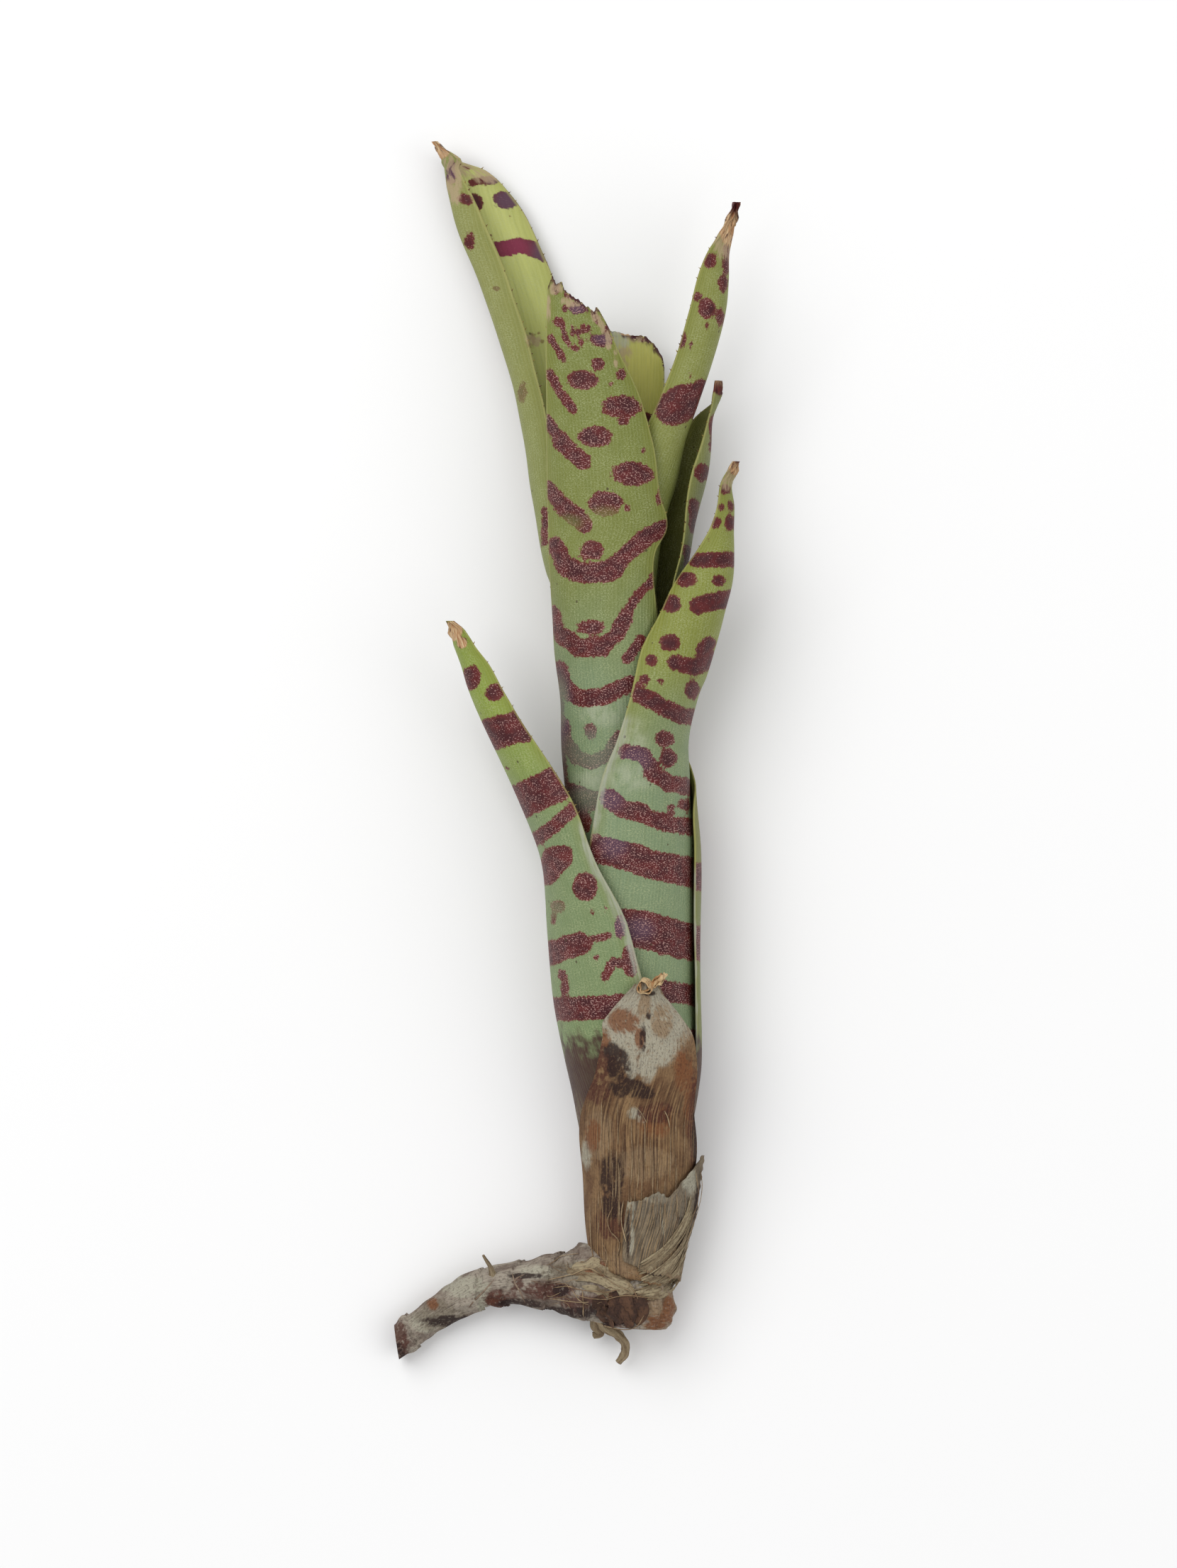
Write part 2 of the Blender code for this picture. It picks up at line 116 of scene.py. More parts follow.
def leaf_table(depth, sheath, blade):
    """Join sheath rows (y, angles) on the tube, depth inside its outside, to free blade rows."""
    start, end = sheath[0][0], sheath[-1][0]
    places = sorted({row[0] for row in sheath} | {row[0] for row in TUBE if start < row[0] < end})
    tube, angles = smooth(TUBE, places), smooth(sheath, places)
    rows = []
    for y, (x, z, radius), (first, last) in zip(places, tube, angles):
        rows.append((y, x, z, radius - depth, 1.0, first, last))
    return rows + list(blade)


def leaf_points(table, u, y, depth):
    """Points of a leaf, depth inside its outer face, and their angles on the sections in degrees.

    u is -1 at one margin and 1 at the other. The angle is 0 at the top, 90 at +X and -90 at -X.
    """
    x, z, radius, flat, first, last = smooth(table, y).T
    angle = first + (last - first) * (u + 1) / 2
    turned = np.radians(angle)
    points = np.stack(
        (x + (radius - depth) * np.sin(turned), y, z + (radius * flat - depth) * np.cos(turned)), axis=1,
    )
    return points, angle


def deepen(table, u, y, thick):
    """How deep the inner face lies in its section, where the leaf slants across it."""
    nudge, most_slant = 0.01, 0.65
    place = leaf_points(table, u, y, 0.0)[0]
    across = leaf_points(table, u + nudge, y, 0.0)[0] - place
    ahead = leaf_points(table, u, y + nudge, 0.0)[0] - place
    inwards = leaf_points(table, u, y, nudge)[0] - place
    upright = np.cross(across, ahead)
    upright /= np.linalg.norm(upright, axis=1)[:, None] + 1e-12
    inwards /= np.linalg.norm(inwards, axis=1)[:, None]
    return thick / np.maximum(np.abs((upright * inwards).sum(axis=1)), most_slant)


def ripple(places, spread, seed):
    """A smooth random field, about -1 to 1, whose waves are about spread long."""
    waves, calm = 7, 3.0
    draw = np.random.default_rng(seed)
    total = np.zeros(len(places))
    for _ in range(waves):
        way = draw.normal(size=places.shape[1])
        way *= 2 * math.pi / spread * draw.uniform(0.6, 1.5) / np.linalg.norm(way)
        total += np.sin(places @ way + draw.uniform(0, 2 * math.pi))
    return total / calm


FAR_FROM_MARKS = 50.0


def from_spots(plan, spots):
    """Signed distance, in millimetres, from oval spots (x, y, wide, high) given in pixels."""
    nearest = np.full(len(plan), FAR_FROM_MARKS)
    for px, py, wide, high in spots:
        x, y = seen_at(px, py)
        half_wide, half_high = wide * PIXEL / 2, high * PIXEL / 2
        away = np.hypot((plan[:, 0] - x) / half_wide, (plan[:, 1] - y) / half_high) - 1
        nearest = np.minimum(nearest, away * min(half_wide, half_high))
    return nearest


def from_strokes(plan, strokes):
    """Signed distance from bands (width, point, point, ...) given in pixels."""
    nearest = np.full(len(plan), FAR_FROM_MARKS)
    for wide, *points in strokes:
        places = [np.array(seen_at(*p)) for p in points]
        for start, end in zip(places, places[1:]):
            run = end - start
            t = np.clip((plan - start) @ run / (run @ run), 0, 1)
            away = np.linalg.norm(plan - (start + t[:, None] * run), axis=1) - wide * PIXEL / 2
            nearest = np.minimum(nearest, away)
    return nearest


def drawn_marks(plan, marks, side=""):
    """Signed distance from the spots and strokes of a leaf's outside, or of its inner_ side."""
    spots, strokes = marks.get(side + "spots", ()), marks.get(side + "strokes", ())
    return np.minimum(from_spots(plan, spots), from_strokes(plan, strokes))


def hidden_marks(plan, angle, pitch, phase, seed):
    """Signed distance from the bands that go on round the back, where no mark is drawn."""
    side_on, hidden = 92.0, 104.0
    band_share, clear = 0.24, 6.0
    wave = 1.6 * ripple(plan, 22.0, seed + 5) + 0.9 * ripple(plan, 7.0, seed + 6)
    bands = np.abs((plan[:, 1] + wave + phase) % pitch - pitch / 2) - pitch * band_share
    return bands + clear * step_up(np.abs(angle), hidden, side_on)


def patch(plan, spots):
    """A soft patch, 1 in the middle of each spot (x, y, wide, high) and 0 just past its edge."""
    full_in, gone_at = 0.3, 1.15
    strongest = np.zeros(len(plan))
    for px, py, wide, high in spots:
        x, y = seen_at(px, py)
        away = np.hypot((plan[:, 0] - x) / (wide * PIXEL / 2), (plan[:, 1] - y) / (high * PIXEL / 2))
        strongest = np.maximum(strongest, step_up(away, gone_at, full_in))
    return strongest


def write_attributes(mesh, fields):
    """Store one number for each vertex, or a vector, under each name."""
    for name, values in fields.items():
        kind, part = ("FLOAT_VECTOR", "vector") if values.ndim == 2 else ("FLOAT", "value")
        made = mesh.attributes.new(name, kind, "POINT")
        made.data.foreach_set(part, np.ascontiguousarray(values, dtype=np.float32).ravel())


def add_piece(name, mesh, material, node=None):
    """Put a finished mesh in the scene. It rides with the plant and stands for its node."""
    mesh.shade_smooth()
    mesh.materials.append(material)
    piece = bpy.data.objects.new(name, mesh)
    bpy.context.scene.collection.objects.link(piece)
    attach(piece, "root")
    if node:
        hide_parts(node)


def close_mesh(name, bm):
    """A mesh of what bm holds. It is the last use of bm."""
    mesh = bpy.data.meshes.new(name)
    bm.to_mesh(mesh)
    bm.free()
    return mesh


def read_points(mesh):
    """The places of a mesh's vertices, one row each."""
    flat = np.empty(len(mesh.vertices) * 3, dtype=np.float32)
    mesh.vertices.foreach_get("co", flat)
    return flat.reshape(-1, 3).astype(float)


def line_at(line, u):
    """Read a height, or a broken line of (place, height) points, at many places."""
    if isinstance(line, (int, float)):
        return line + 0.0 * u
    return np.interp(u, [p[0] for p in line], [p[1] for p in line])


def teeth(u, seed):
    """How far a torn edge stands out or in, in a few large teeth and many small ones."""
    large = ripple(np.stack((u * 14, u * 5), axis=1), 5.0, seed)
    small = ripple(np.stack((u * 46, u * 9), axis=1), 5.0, seed + 2)
    return 0.6 * large + 0.4 * small


CLOSER_ROWS = 0.1           # how much closer a leaf's rows of faces lie towards its tip
TORN_ENDS = (0.3, 0.7)      # the shares of a frayed leaf between which its outline is whole
WAVE = (0.12, 16.0)         # height and length of the slow waves in a blade
DEAD_RIM = (1.1, 0.2)       # where the dead rim of a tear starts and is full
MARGIN_RUN = (4.0, 3.0)     # over which a bleached margin starts and ends


def grow_leaf(
    node, table, base, top, marks, columns=90, row=0.75, thick=BLADE, crumple=(), frayed=0.0,
    hidden_bands=(8.0, 0.0), white_margin=None, on_surface=False, *, seed,
):
    """Bend a fine flat slab into a leaf, crumple its dead tip and map its markings.

    base and top are its ends. crumple has (start, end, depth, spread) rows. hidden_bands has the
    pitch and the shift of the bands out of sight. white_margin is the side (-1 or 1), the two
    heights and the width of a bleached margin. A leaf on_surface is settled flat where it lies.
    """
    long = line_at(top, 0.0) - line_at(base, 0.0)
    bm = bmesh.new()
    bmesh.ops.create_grid(bm, x_segments=columns, y_segments=round(long / row), size=1.0)
    bmesh.ops.solidify(bm, geom=bm.faces[:], thickness=1.0)
    mesh = close_mesh(node + "_skin", bm)
    grid = read_points(mesh)
    u, s, inner = grid[:, 0], (grid[:, 1] + 1) / 2, -grid[:, 2]
    s = s + CLOSER_ROWS * np.sin(math.pi * s)
    torn = frayed * teeth(u, seed)
    low = line_at(base, u) + torn * step_up(s, TORN_ENDS[0], 0.0)
    high = line_at(top, u) + torn * step_up(s, TORN_ENDS[1], 1.0)
    y = low + (high - low) * s
    x0, z0, radius, flat, first, last = smooth(table, y).T
    half_arc = np.radians(last - first) / 2 * radius * (1 + flat) / 2
    from_edge = np.minimum((1 - np.abs(u)) * half_arc, high - y)
    body = THIN_EDGE + (thick - THIN_EDGE) * step_up(from_edge, 0.0, EDGE_BAND)
    depth = inner * deepen(table, u, y, body)
    points, angle = leaf_points(table, u, y, depth)

    away = points - np.stack((x0, y, z0), axis=1)
    away /= np.linalg.norm(away, axis=1)[:, None]
    across = u * np.maximum(half_arc, VEINS_MEET)
    on_blade = np.stack((across, y), axis=1)
    lift = WAVE[0] * ripple(on_blade, WAVE[1], seed)
    for start, end, depth_of, spread in crumple:
        lift += depth_of * ripple(on_blade, spread, seed + 3) * step_up(y, start, end)
    points += away * lift[:, None]
    if on_surface:
        points[:, 2] = np.maximum(points[:, 2], depth)

    behind = np.radians(np.maximum(np.abs(angle) - 90, 0))
    unrolled = np.where(behind > 0, x0 + np.sign(angle) * radius * (1 + behind), points[:, 0])
    plan = np.stack((np.where(inner > 0.5, points[:, 0], unrolled), y), axis=1)
    outer_marks = np.minimum(drawn_marks(plan, marks), hidden_marks(plan, angle, *hidden_bands, seed))
    fields = {
        "skin": np.stack((across, y, np.full(len(y), float(seed))), axis=1),
        "blotch": np.where(inner > 0.5, drawn_marks(plan, marks, "inner_"), outer_marks),
        "inner": inner,
        "edge": from_edge,
    }
    if frayed:
        fields["torn"] = step_up(high - y + 0.5 * ripple(plan, 1.6, seed + 8), *DEAD_RIM)
    if white_margin:
        side, start, end, wide = white_margin
        from_side = (1 - side * u) * half_arc + 0.3 * ripple(plan, 3.0, seed + 9)
        fields["pale"] = step_up(from_side, wide, 0.0) * step_up(y, start, start + MARGIN_RUN[0])
        fields["pale"] *= step_up(y, end, end - MARGIN_RUN[1])
    for name in marks:
        if not name.endswith(("spots", "strokes")):
            fields[name] = patch(plan, marks[name])
    write_attributes(mesh, fields)
    mesh.vertices.foreach_set("co", (points * MM).astype(np.float32).ravel())
    mesh.update()
    return mesh


def linear(red, green, blue):
    """A colour given as 0 to 255 on a screen, in the renderer's linear values."""
    made = []
    for part in (red, green, blue):
        c = part / 255
        made.append(c / 12.92 if c <= 0.04045 else ((c + 0.055) / 1.055) ** 2.4)
    return (*made, 1.0)


class Finish:
    """A material whose nodes are added one after another, each reading the ones before."""

    def __init__(self, name, roughness, specular=0.35):
        self.material = bpy.data.materials.new(name)
        self.material.use_nodes = True
        self.tree = self.material.node_tree
        self.shader = self.tree.nodes["Principled BSDF"]
        self.shader.inputs["Roughness"].default_value = roughness
        self.shader.inputs["Specular IOR Level"].default_value = specular

    def add(self, kind, inputs, output=0, **settings):
        made = self.tree.nodes.new(kind)
        for key, value in settings.items():
            setattr(made, key, value)
        for key, value in inputs.items():
            if isinstance(value, bpy.types.NodeSocket):
                self.tree.links.new(value, made.inputs[key])
            else:
                made.inputs[key].default_value = value
        return made.outputs[output]

    def field(self, name):
        """A number that the mesh stores at each vertex."""
        return self.add("ShaderNodeAttribute", {}, "Fac", attribute_name=name)

    def skin(self, across, along):
        """The place on the surface, in cells that are across and along millimetres large."""
        place = self.add("ShaderNodeAttribute", {}, "Vector", attribute_name="skin")
        scale = (1 / across, 1 / along, 1.0)
        return self.add("ShaderNodeVectorMath", {0: place, 1: scale}, operation="MULTIPLY")

    def noise(self, place, detail=2.0):
        return self.add("ShaderNodeTexNoise", {"Vector": place, "Scale": 1.0, "Detail": detail}, "Fac")

    def cells(self, place):
        """How far a place lies from the middle of its cell."""
        made = {"Vector": place, "Scale": 1.0, "Randomness": 1.0}
        return self.add("ShaderNodeTexVoronoi", made, "Distance", feature="F1")

    def sum(self, a, b, operation="ADD"):
        return self.add("ShaderNodeMath", {0: a, 1: b}, operation=operation)

    def times(self, a, b):
        return self.sum(a, b, "MULTIPLY")

    def step(self, value, low, high):
        """0 at low, 1 at high and a soft step between them."""
        made = {"Value": value, "From Min": low, "From Max": high}
        return self.add("ShaderNodeMapRange", made, interpolation_type="SMOOTHSTEP")

    def mix(self, amount, first, second):
        return self.add("ShaderNodeMix", {0: amount, 6: first, 7: second}, 2, data_type="RGBA")

    def between(self, amount, first, second):
        return self.add("ShaderNodeMix", {0: amount, 2: first, 3: second}, 0, data_type="FLOAT")

    def close(self, colour, relief=None, height=0.1):
        """Lead the finished colour and relief to the shader."""
        self.tree.links.new(colour, self.shader.inputs["Base Color"])
        if relief is not None:
            made = {"Height": relief, "Strength": 1.0, "Distance": height * MM}
            bump = self.add("ShaderNodeBump", made)
            self.tree.links.new(bump, self.shader.inputs["Normal"])
        return self.material


MAROON = linear(90, 22, 22)
DARK_MAROON = linear(62, 14, 20)
RUST = linear(100, 38, 28)
PURPLE = linear(84, 54, 70)
MAGENTA = linear(124, 38, 66)
SCALE_ON_MAROON = linear(184, 144, 136)
SCALE_ON_GREEN = linear(186, 192, 146)
BARE_MARGIN = linear(122, 124, 40)
DEEP_STREAK = linear(86, 98, 44)
VEIN = linear(200, 208, 160)
MILKY = linear(180, 184, 160)
PALE_EDGE = linear(172, 168, 104)
BLEACHED = linear(164, 166, 152)
STRAW = linear(206, 180, 140)
TAN = linear(168, 122, 82)
BARK_BROWN = linear(76, 42, 32)
FLECK = linear(62, 48, 26)
RIND_BROWN = linear(84, 52, 40)
RIND_GREY = linear(110, 98, 72)
RIND_DARK = linear(60, 27, 25)
SERE = linear(172, 150, 120)
VEIN_ROOM = 0.62            # from one vein to the next
AGED = (-46.0, -51.0)       # heights between which a sheath browns with age
HALF_DRIFT = 7.0            # by how much half of the drifting noise moves such a height


def leaf_finish(name, top, low, turn, inside, scurf, sparse):
    """Living leaf. Its green turns from low to top between the two heights of turn.

    scurf is how thickly pale scales lie on the green. sparse is how much thinner they lie on the
    blotches near the tip.
    """
    f = Finish(name, roughness=0.55, specular=0.3)

    # The green, barer at the margins, with streaks and veins.
    height = f.add("ShaderNodeSeparateXYZ", {0: f.skin(1.0, 1.0)}, "Y")
    drift = f.sum(height, f.times(f.noise(f.skin(7.0, 11.0)), 2 * HALF_DRIFT))
    up = f.step(drift, turn[0] + HALF_DRIFT, turn[1] + HALF_DRIFT)
    green = f.mix(up, linear(*low), linear(*top))
    green = f.mix(f.field("inner"), green, linear(*inside))
    bare = f.step(f.field("edge"), 3.2, 0.4)
    green = f.mix(f.times(bare, 0.35), green, BARE_MARGIN)
    vein = f.add("ShaderNodeSeparateXYZ", {0: f.skin(VEIN_ROOM / (2 * math.pi), 1.0)}, "X")
    vein = f.add("ShaderNodeMath", {0: vein}, operation="SINE")
    streaks = f.noise(f.skin(0.45, 6.0), 3.0)
    green = f.mix(f.times(f.step(streaks, 0.4, 0.7), 0.3), green, f.mix(0.5, green, DEEP_STREAK))
    green = f.mix(f.times(f.step(vein, 0.3, 1.0), 0.06), green, VEIN)

    # Pale scales on the green, in patches of dashes and of dots.
    dashes = f.noise(f.skin(0.38, 0.18), 1.0)
    dots = f.noise(f.skin(0.21, 0.24), 1.0)
    scales = f.between(f.step(f.noise(f.skin(5.0, 3.0)), 0.44, 0.56), dots, dashes)
    thick = f.step(f.noise(f.skin(3.0, 2.4), 3.0), 0.3, 0.7)
    cover = f.sum(f.times(thick, 0.45 * scurf), 0.25 * scurf)
    on_green = f.times(f.step(scales, 0.44, 0.64), cover)
    on_green = f.times(on_green, f.sum(1.0, f.times(bare, -0.8)))
    green = f.mix(on_green, green, SCALE_ON_GREEN)
    milky = f.times(f.field("milky"), f.step(f.noise(f.skin(1.6, 3.0), 3.0), 0.3, 0.6))
    green = f.mix(f.times(milky, 0.42), green, MILKY)

    # Maroon blotches with ragged borders, rusty inside them, and the scales that lie on them.
    ragged = f.sum(f.noise(f.skin(0.5, 0.6), 3.0), f.noise(f.skin(2.4, 2.4)))
    border = f.sum(f.field("blotch"), f.sum(ragged, -1.0))
    marked = f.step(border, 0.14, -0.14)
    ripe = f.mix(f.step(f.noise(f.skin(2.6, 2.0), 3.0), 0.35, 0.7), DARK_MAROON, MAROON)
    ripe = f.mix(f.times(f.step(border, -0.7, 0.0), 0.7), ripe, RUST)
    ripe = f.mix(f.field("rusty"), ripe, RUST)
    ripe = f.mix(f.field("purple"), ripe, PURPLE)
    ripe = f.mix(f.field("magenta"), ripe, MAGENTA)
    thin = f.sum(f.times(up, sparse), f.times(f.step(thick, 0.5, 0.1), 0.03))
    on_maroon = f.step(f.sum(scales, f.times(thin, -1.0)), 0.55, 0.62)
    on_maroon = f.times(on_maroon, f.sum(0.75, f.times(f.field("inner"), -0.65)))
    ripe = f.mix(on_maroon, ripe, SCALE_ON_MAROON)
    strength = f.times(marked, f.sum(1.0, f.times(f.field("muted"), -0.45)))
    colour = f.mix(strength, green, ripe)

    # Brown flecks, the pale line of the margin, dried patches and the rim of a tear.
    speck = f.cells(f.skin(3.4, 4.2))
    colour = f.mix(f.times(f.step(speck, 0.075, 0.045), 0.8), colour, FLECK)
    colour = f.mix(f.times(f.step(f.field("edge"), 0.5, 0.12), 0.45), colour, PALE_EDGE)
    uneven = f.sum(f.times(f.noise(f.skin(1.0, 2.0), 4.0), 5.0), -1.5)
    sere = f.step(f.times(f.field("sere"), uneven), 0.15, 0.9)
    colour = f.mix(f.times(sere, 0.75), colour, SERE)
    rim = f.times(f.field("torn"), f.step(f.noise(f.skin(0.8, 0.8), 3.0), 0.4, 0.5))
    colour = f.mix(rim, colour, DARK_MAROON)

    # The foot of the sheath, brown with age.
    grain = f.noise(f.skin(0.5, 5.0), 4.0)
    rind = f.mix(f.step(grain, 0.38, 0.62), RIND_BROWN, RIND_GREY)
    mottled = f.step(f.noise(f.skin(2.4, 3.4), 4.0), 0.46, 0.6)
    rind = f.mix(f.times(mottled, 0.8), rind, DARK_MAROON)
    drift = f.sum(height, f.times(f.noise(f.skin(2.0, 2.6), 4.0), 2 * HALF_DRIFT))
    rind = f.mix(f.times(f.step(drift, AGED[1] - 6, AGED[1] + 3), 0.8), rind, RIND_DARK)
    age = f.step(drift, AGED[0] + HALF_DRIFT, AGED[1] + HALF_DRIFT)
    colour = f.mix(f.times(age, 0.95), colour, rind)

    # The dead tip and the bleached margin.
    old = f.noise(f.skin(0.5, 3.0), 4.0)
    dead = f.mix(f.step(old, 0.35, 0.65), STRAW, TAN)
    dead = f.mix(f.step(f.noise(f.skin(1.2, 1.6), 4.0), 0.55, 0.66), dead, BARK_BROWN)
    dead = f.mix(f.field("rusty"), dead, f.mix(f.step(old, 0.4, 0.6), DARK_MAROON, RUST))
    dryness = f.step(f.sum(f.field("dry"), f.times(f.sum(old, -0.5), 0.9)), 0.35, 0.6)
    colour = f.mix(dryness, colour, dead)
    pale = f.step(f.times(f.field("pale"), f.sum(f.times(grain, 3.0), -0.5)), 0.05, 1.1)
    colour = f.mix(f.times(pale, 0.7), colour, BLEACHED)
    skinny = f.times(scales, f.sum(0.9, f.times(f.field("inner"), -0.8)))
    relief = f.sum(f.times(vein, 0.14), f.sum(skinny, f.times(streaks, 0.7)))
    return f.close(colour, relief=relief, height=0.09)


def add_leaf(place, table, base, top, marks, greens, scurf=0.5, sparse=0.07, **growth):
    """Grow and colour the living leaf at one place of the plant, and let it stand for its node."""
    mesh = grow_leaf("leaf_" + place, table, base, top, marks, **growth)
    finish = leaf_finish(place + "_leaf", *greens, scurf=scurf, sparse=sparse)
    add_piece(place + "_leaf", mesh, finish, node="leaf_" + place)


upper_right = leaf_table(
    7 * LAYER,
    ((-47, -150, 150), (-30, -120, 150), (-4, -95, 150), (20, -80, 150)),
    (
        (32, 8.8, 13.0, 6.8, 1.0, -70, 128), (41.6, 10.8, 13.3, 6.6, 1.0, -60, 115),
        (46, 12.6, 13.4, 6.1, 1.0, -48, 115), (53.5, 15.4, 13.7, 5.0, 1.0, -35, 125),
        (59.4, 17.9, 14.0, 4.5, 1.0, -32, 135), (66.5, 20.8, 14.3, 4.0, 1.0, -42, 140),
        (75, 23.3, 14.7, 3.6, 1.0, -44, 135), (80, 24.0, 15.0, 3.4, 1.0, -36, 122),
        (84.5, 23.9, 14.9, 3.6, 1.0, -3, 95), (87, 24.2, 14.6, 4.0, 1.0, 16, 75),
        (89, 24.5, 14.2, 4.6, 1.0, 25, 62), (92, 25.0, 13.2, 5.5, 1.0, 31, 50),
        (93.5, 24.9, 12.8, 6.0, 1.0, 36, 45),
    ),
)
upper_right_marks = {
    "spots": (
        (1001, 370, 18, 23), (1019, 401, 15, 28), (983, 421, 14, 14), (997, 438, 25, 30),
        (1015, 449, 13, 25), (960, 482, 13, 25), (996, 462, 5, 9), (974, 488, 5, 10),
        (973, 532, 5, 10), (1034, 292, 18, 30),
    ),
    "strokes": (
        (10, (1024, 352), (1024, 384)), (50, (948, 578), (962, 570)), (24, (965, 560), (988, 548)),
    ),
    "dry": ((1029, 325, 40, 66), (1036, 300, 30, 60)),
    "rusty": ((1036, 290, 30, 44),),
    "sere": ((1024, 345, 50, 60),),
}
add_leaf(
    "upper_right", upper_right, -47, 93.2, upper_right_marks,
    greens=((124, 128, 60), (118, 128, 66), (20, 60), (120, 124, 56)), sparse=0.03,
    crumple=((84, 92, 0.35, 3.0),), seed=11,
)


# Inner cut leaf. It stands at the back of the tube's mouth with its inner face to the front. Its
# top was cut across, and the cut has dried to a thin tan skin with a red-brown rim.
inner_cut = leaf_table(
    6 * LAYER,
    ((-52, 60, 300), (-30, 80, 290), (-4, 100, 280), (20, 112, 270)),
    (
        (30, 8.3, 13.0, 8.0, 1.0, 122, 264), (40, 8.9, 12.9, 7.8, 1.0, 134, 258),
        (50, 9.7, 12.7, 7.7, 1.0, 132, 255), (60, 10.4, 12.4, 7.5, 0.95, 125, 250),
        (74, 10.6, 12.2, 7.3, 0.9, 125, 250),
    ),
)
inner_cut_marks = {
    "inner_strokes": (
        (24, (900, 592), (934, 592)), (12, (926, 478), (938, 500)), (5, (880, 468), (928, 482)),
    ),
    "dry": ((888, 466, 60, 10),),
    "pale": ((862, 476, 44, 70), (880, 480, 24, 20)),
    "rusty": ((932, 490, 40, 60),),
    "sere": ((872, 500, 50, 50), (905, 474, 60, 16)),
}
add_leaf(
    "inner_cut", inner_cut, -52,
    ((-1, 65.5), (-0.95, 67.3), (-0.7, 69.8), (-0.5, 71), (0.05, 71.6), (0.33, 72.2), (1, 73)),
    inner_cut_marks, greens=((120, 128, 62), (116, 126, 68), (20, 60), (190, 186, 98)), scurf=0.2,
    frayed=0.2, seed=12,
)


# Tall left leaf. It leaves the tube at the back left and opens to the right as a folded channel,
# so its smooth inner face shows beside the scurfy outer one. Its tip has dried and twisted.
tall_left = leaf_table(
    5 * LAYER,
    ((-57, -230, 60), (-30, -225, 20), (-4, -215, -10), (16, -200, -30)),
    (
        (28, 7.0, 11.9, 9.5, 0.93, -180, -35), (31, 6.3, 11.3, 9.8, 0.87, -176, -35),
        (37, 4.9, 10.5, 9.6, 0.82, -178, -34), (44, 3.5, 9.8, 9.3, 0.78, -184, -33),
        (52, 1.9, 9.0, 8.9, 0.73, -190, -30), (61.7, -0.4, 8.1, 8.5, 0.67, -200, -28),
        (71.3, -3.4, 6.9, 8.4, 0.55, -210, -24), (80.9, -7.0, 6.0, 8.2, 0.44, -216, -22),
        (90.5, -11.0, 5.3, 7.8, 0.38, -217, -22), (96, -13.4, 5.3, 6.9, 0.4, -210, -28),
        (99.6, -15.8, 5.5, 4.9, 0.55, -204, -30), (101, -16.8, 5.6, 4.4, 0.8, -165, -14),
        (103, -17.4, 5.5, 4.6, 1.0, -100, -50), (104.5, -17.8, 5.4, 5.0, 1.0, -88, -70),
    ),
)
tall_left_marks = {
    "spots": ((636, 239, 15, 30), (662, 337, 16, 25), (700, 405, 12, 10), (736, 554, 12, 30)),
    "strokes": ((12, (757, 478), (748, 482)), (10, (768, 722), (768, 768)), (14, (650, 276), (660, 280))),
    "inner_spots": (
        (668, 281, 24, 26), (712, 277, 38, 26), (656, 230, 10, 8), (752, 473, 10, 14), (764, 478, 8, 8),
        (744, 470, 6, 8), (760, 466, 7, 6), (748, 484, 8, 6), (690, 330, 5, 7), (718, 300, 5, 5),
    ),
    "inner_strokes": ((12, (664, 252), (700, 247)), (23, (703, 346), (735, 341), (772, 354))),
    "purple": ((636, 239, 30, 44), (716, 277, 60, 44), (696, 248, 30, 22), (764, 350, 50, 44)),
    "magenta": ((722, 345, 70, 50),),
    "muted": ((700, 405, 40, 40), (736, 556, 40, 60), (754, 478, 50, 40)),
    "rusty": ((756, 476, 44, 36),),
    "sere": ((648, 228, 60, 40), (684, 242, 60, 30), (752, 476, 30, 24), (640, 262, 30, 60)),
    "dry": ((619, 206, 46, 40),),
}
add_leaf(
    "tall_left", tall_left, -57, 104.2, tall_left_marks,
    greens=((134, 136, 76), (124, 130, 72), (30, 80), (186, 190, 112)),
    columns=100, crumple=((98, 103, 0.3, 2.6),), seed=13,
)


# Front cut leaf, the broad one in the middle, seen on its outer face. Its top was torn off along a
# slanting line, and the tear has dried brown. Its bands run across as deep Us.
front_cut = leaf_table(
    4 * LAYER,
    ((-62, -140, 110), (-30, -120, 80), (-4, -100, 62), (8, -92, 56)),
    (
        (20, 8.0, 12.9, 10.2, 1.0, -88, 50), (30, 7.6, 12.6, 10.9, 1.0, -72, 41),
        (34, 7.5, 12.1, 11.5, 1.0, -66, 41), (38.4, 7.8, 11.6, 12.0, 1.0, -65, 51),
        (44, 8.0, 11.3, 12.4, 1.0, -64, 39), (52.3, 7.0, 12.0, 11.5, 1.0, -64, 42),
        (60, 5.6, 13.0, 10.3, 1.0, -60, 42), (68.5, 3.4, 14.6, 8.6, 1.0, -52, 37),
        (76, 2.5, 15.4, 7.8, 1.0, -49, 24), (82, 2.0, 15.8, 7.5, 1.0, -38, 5),
    ),
)
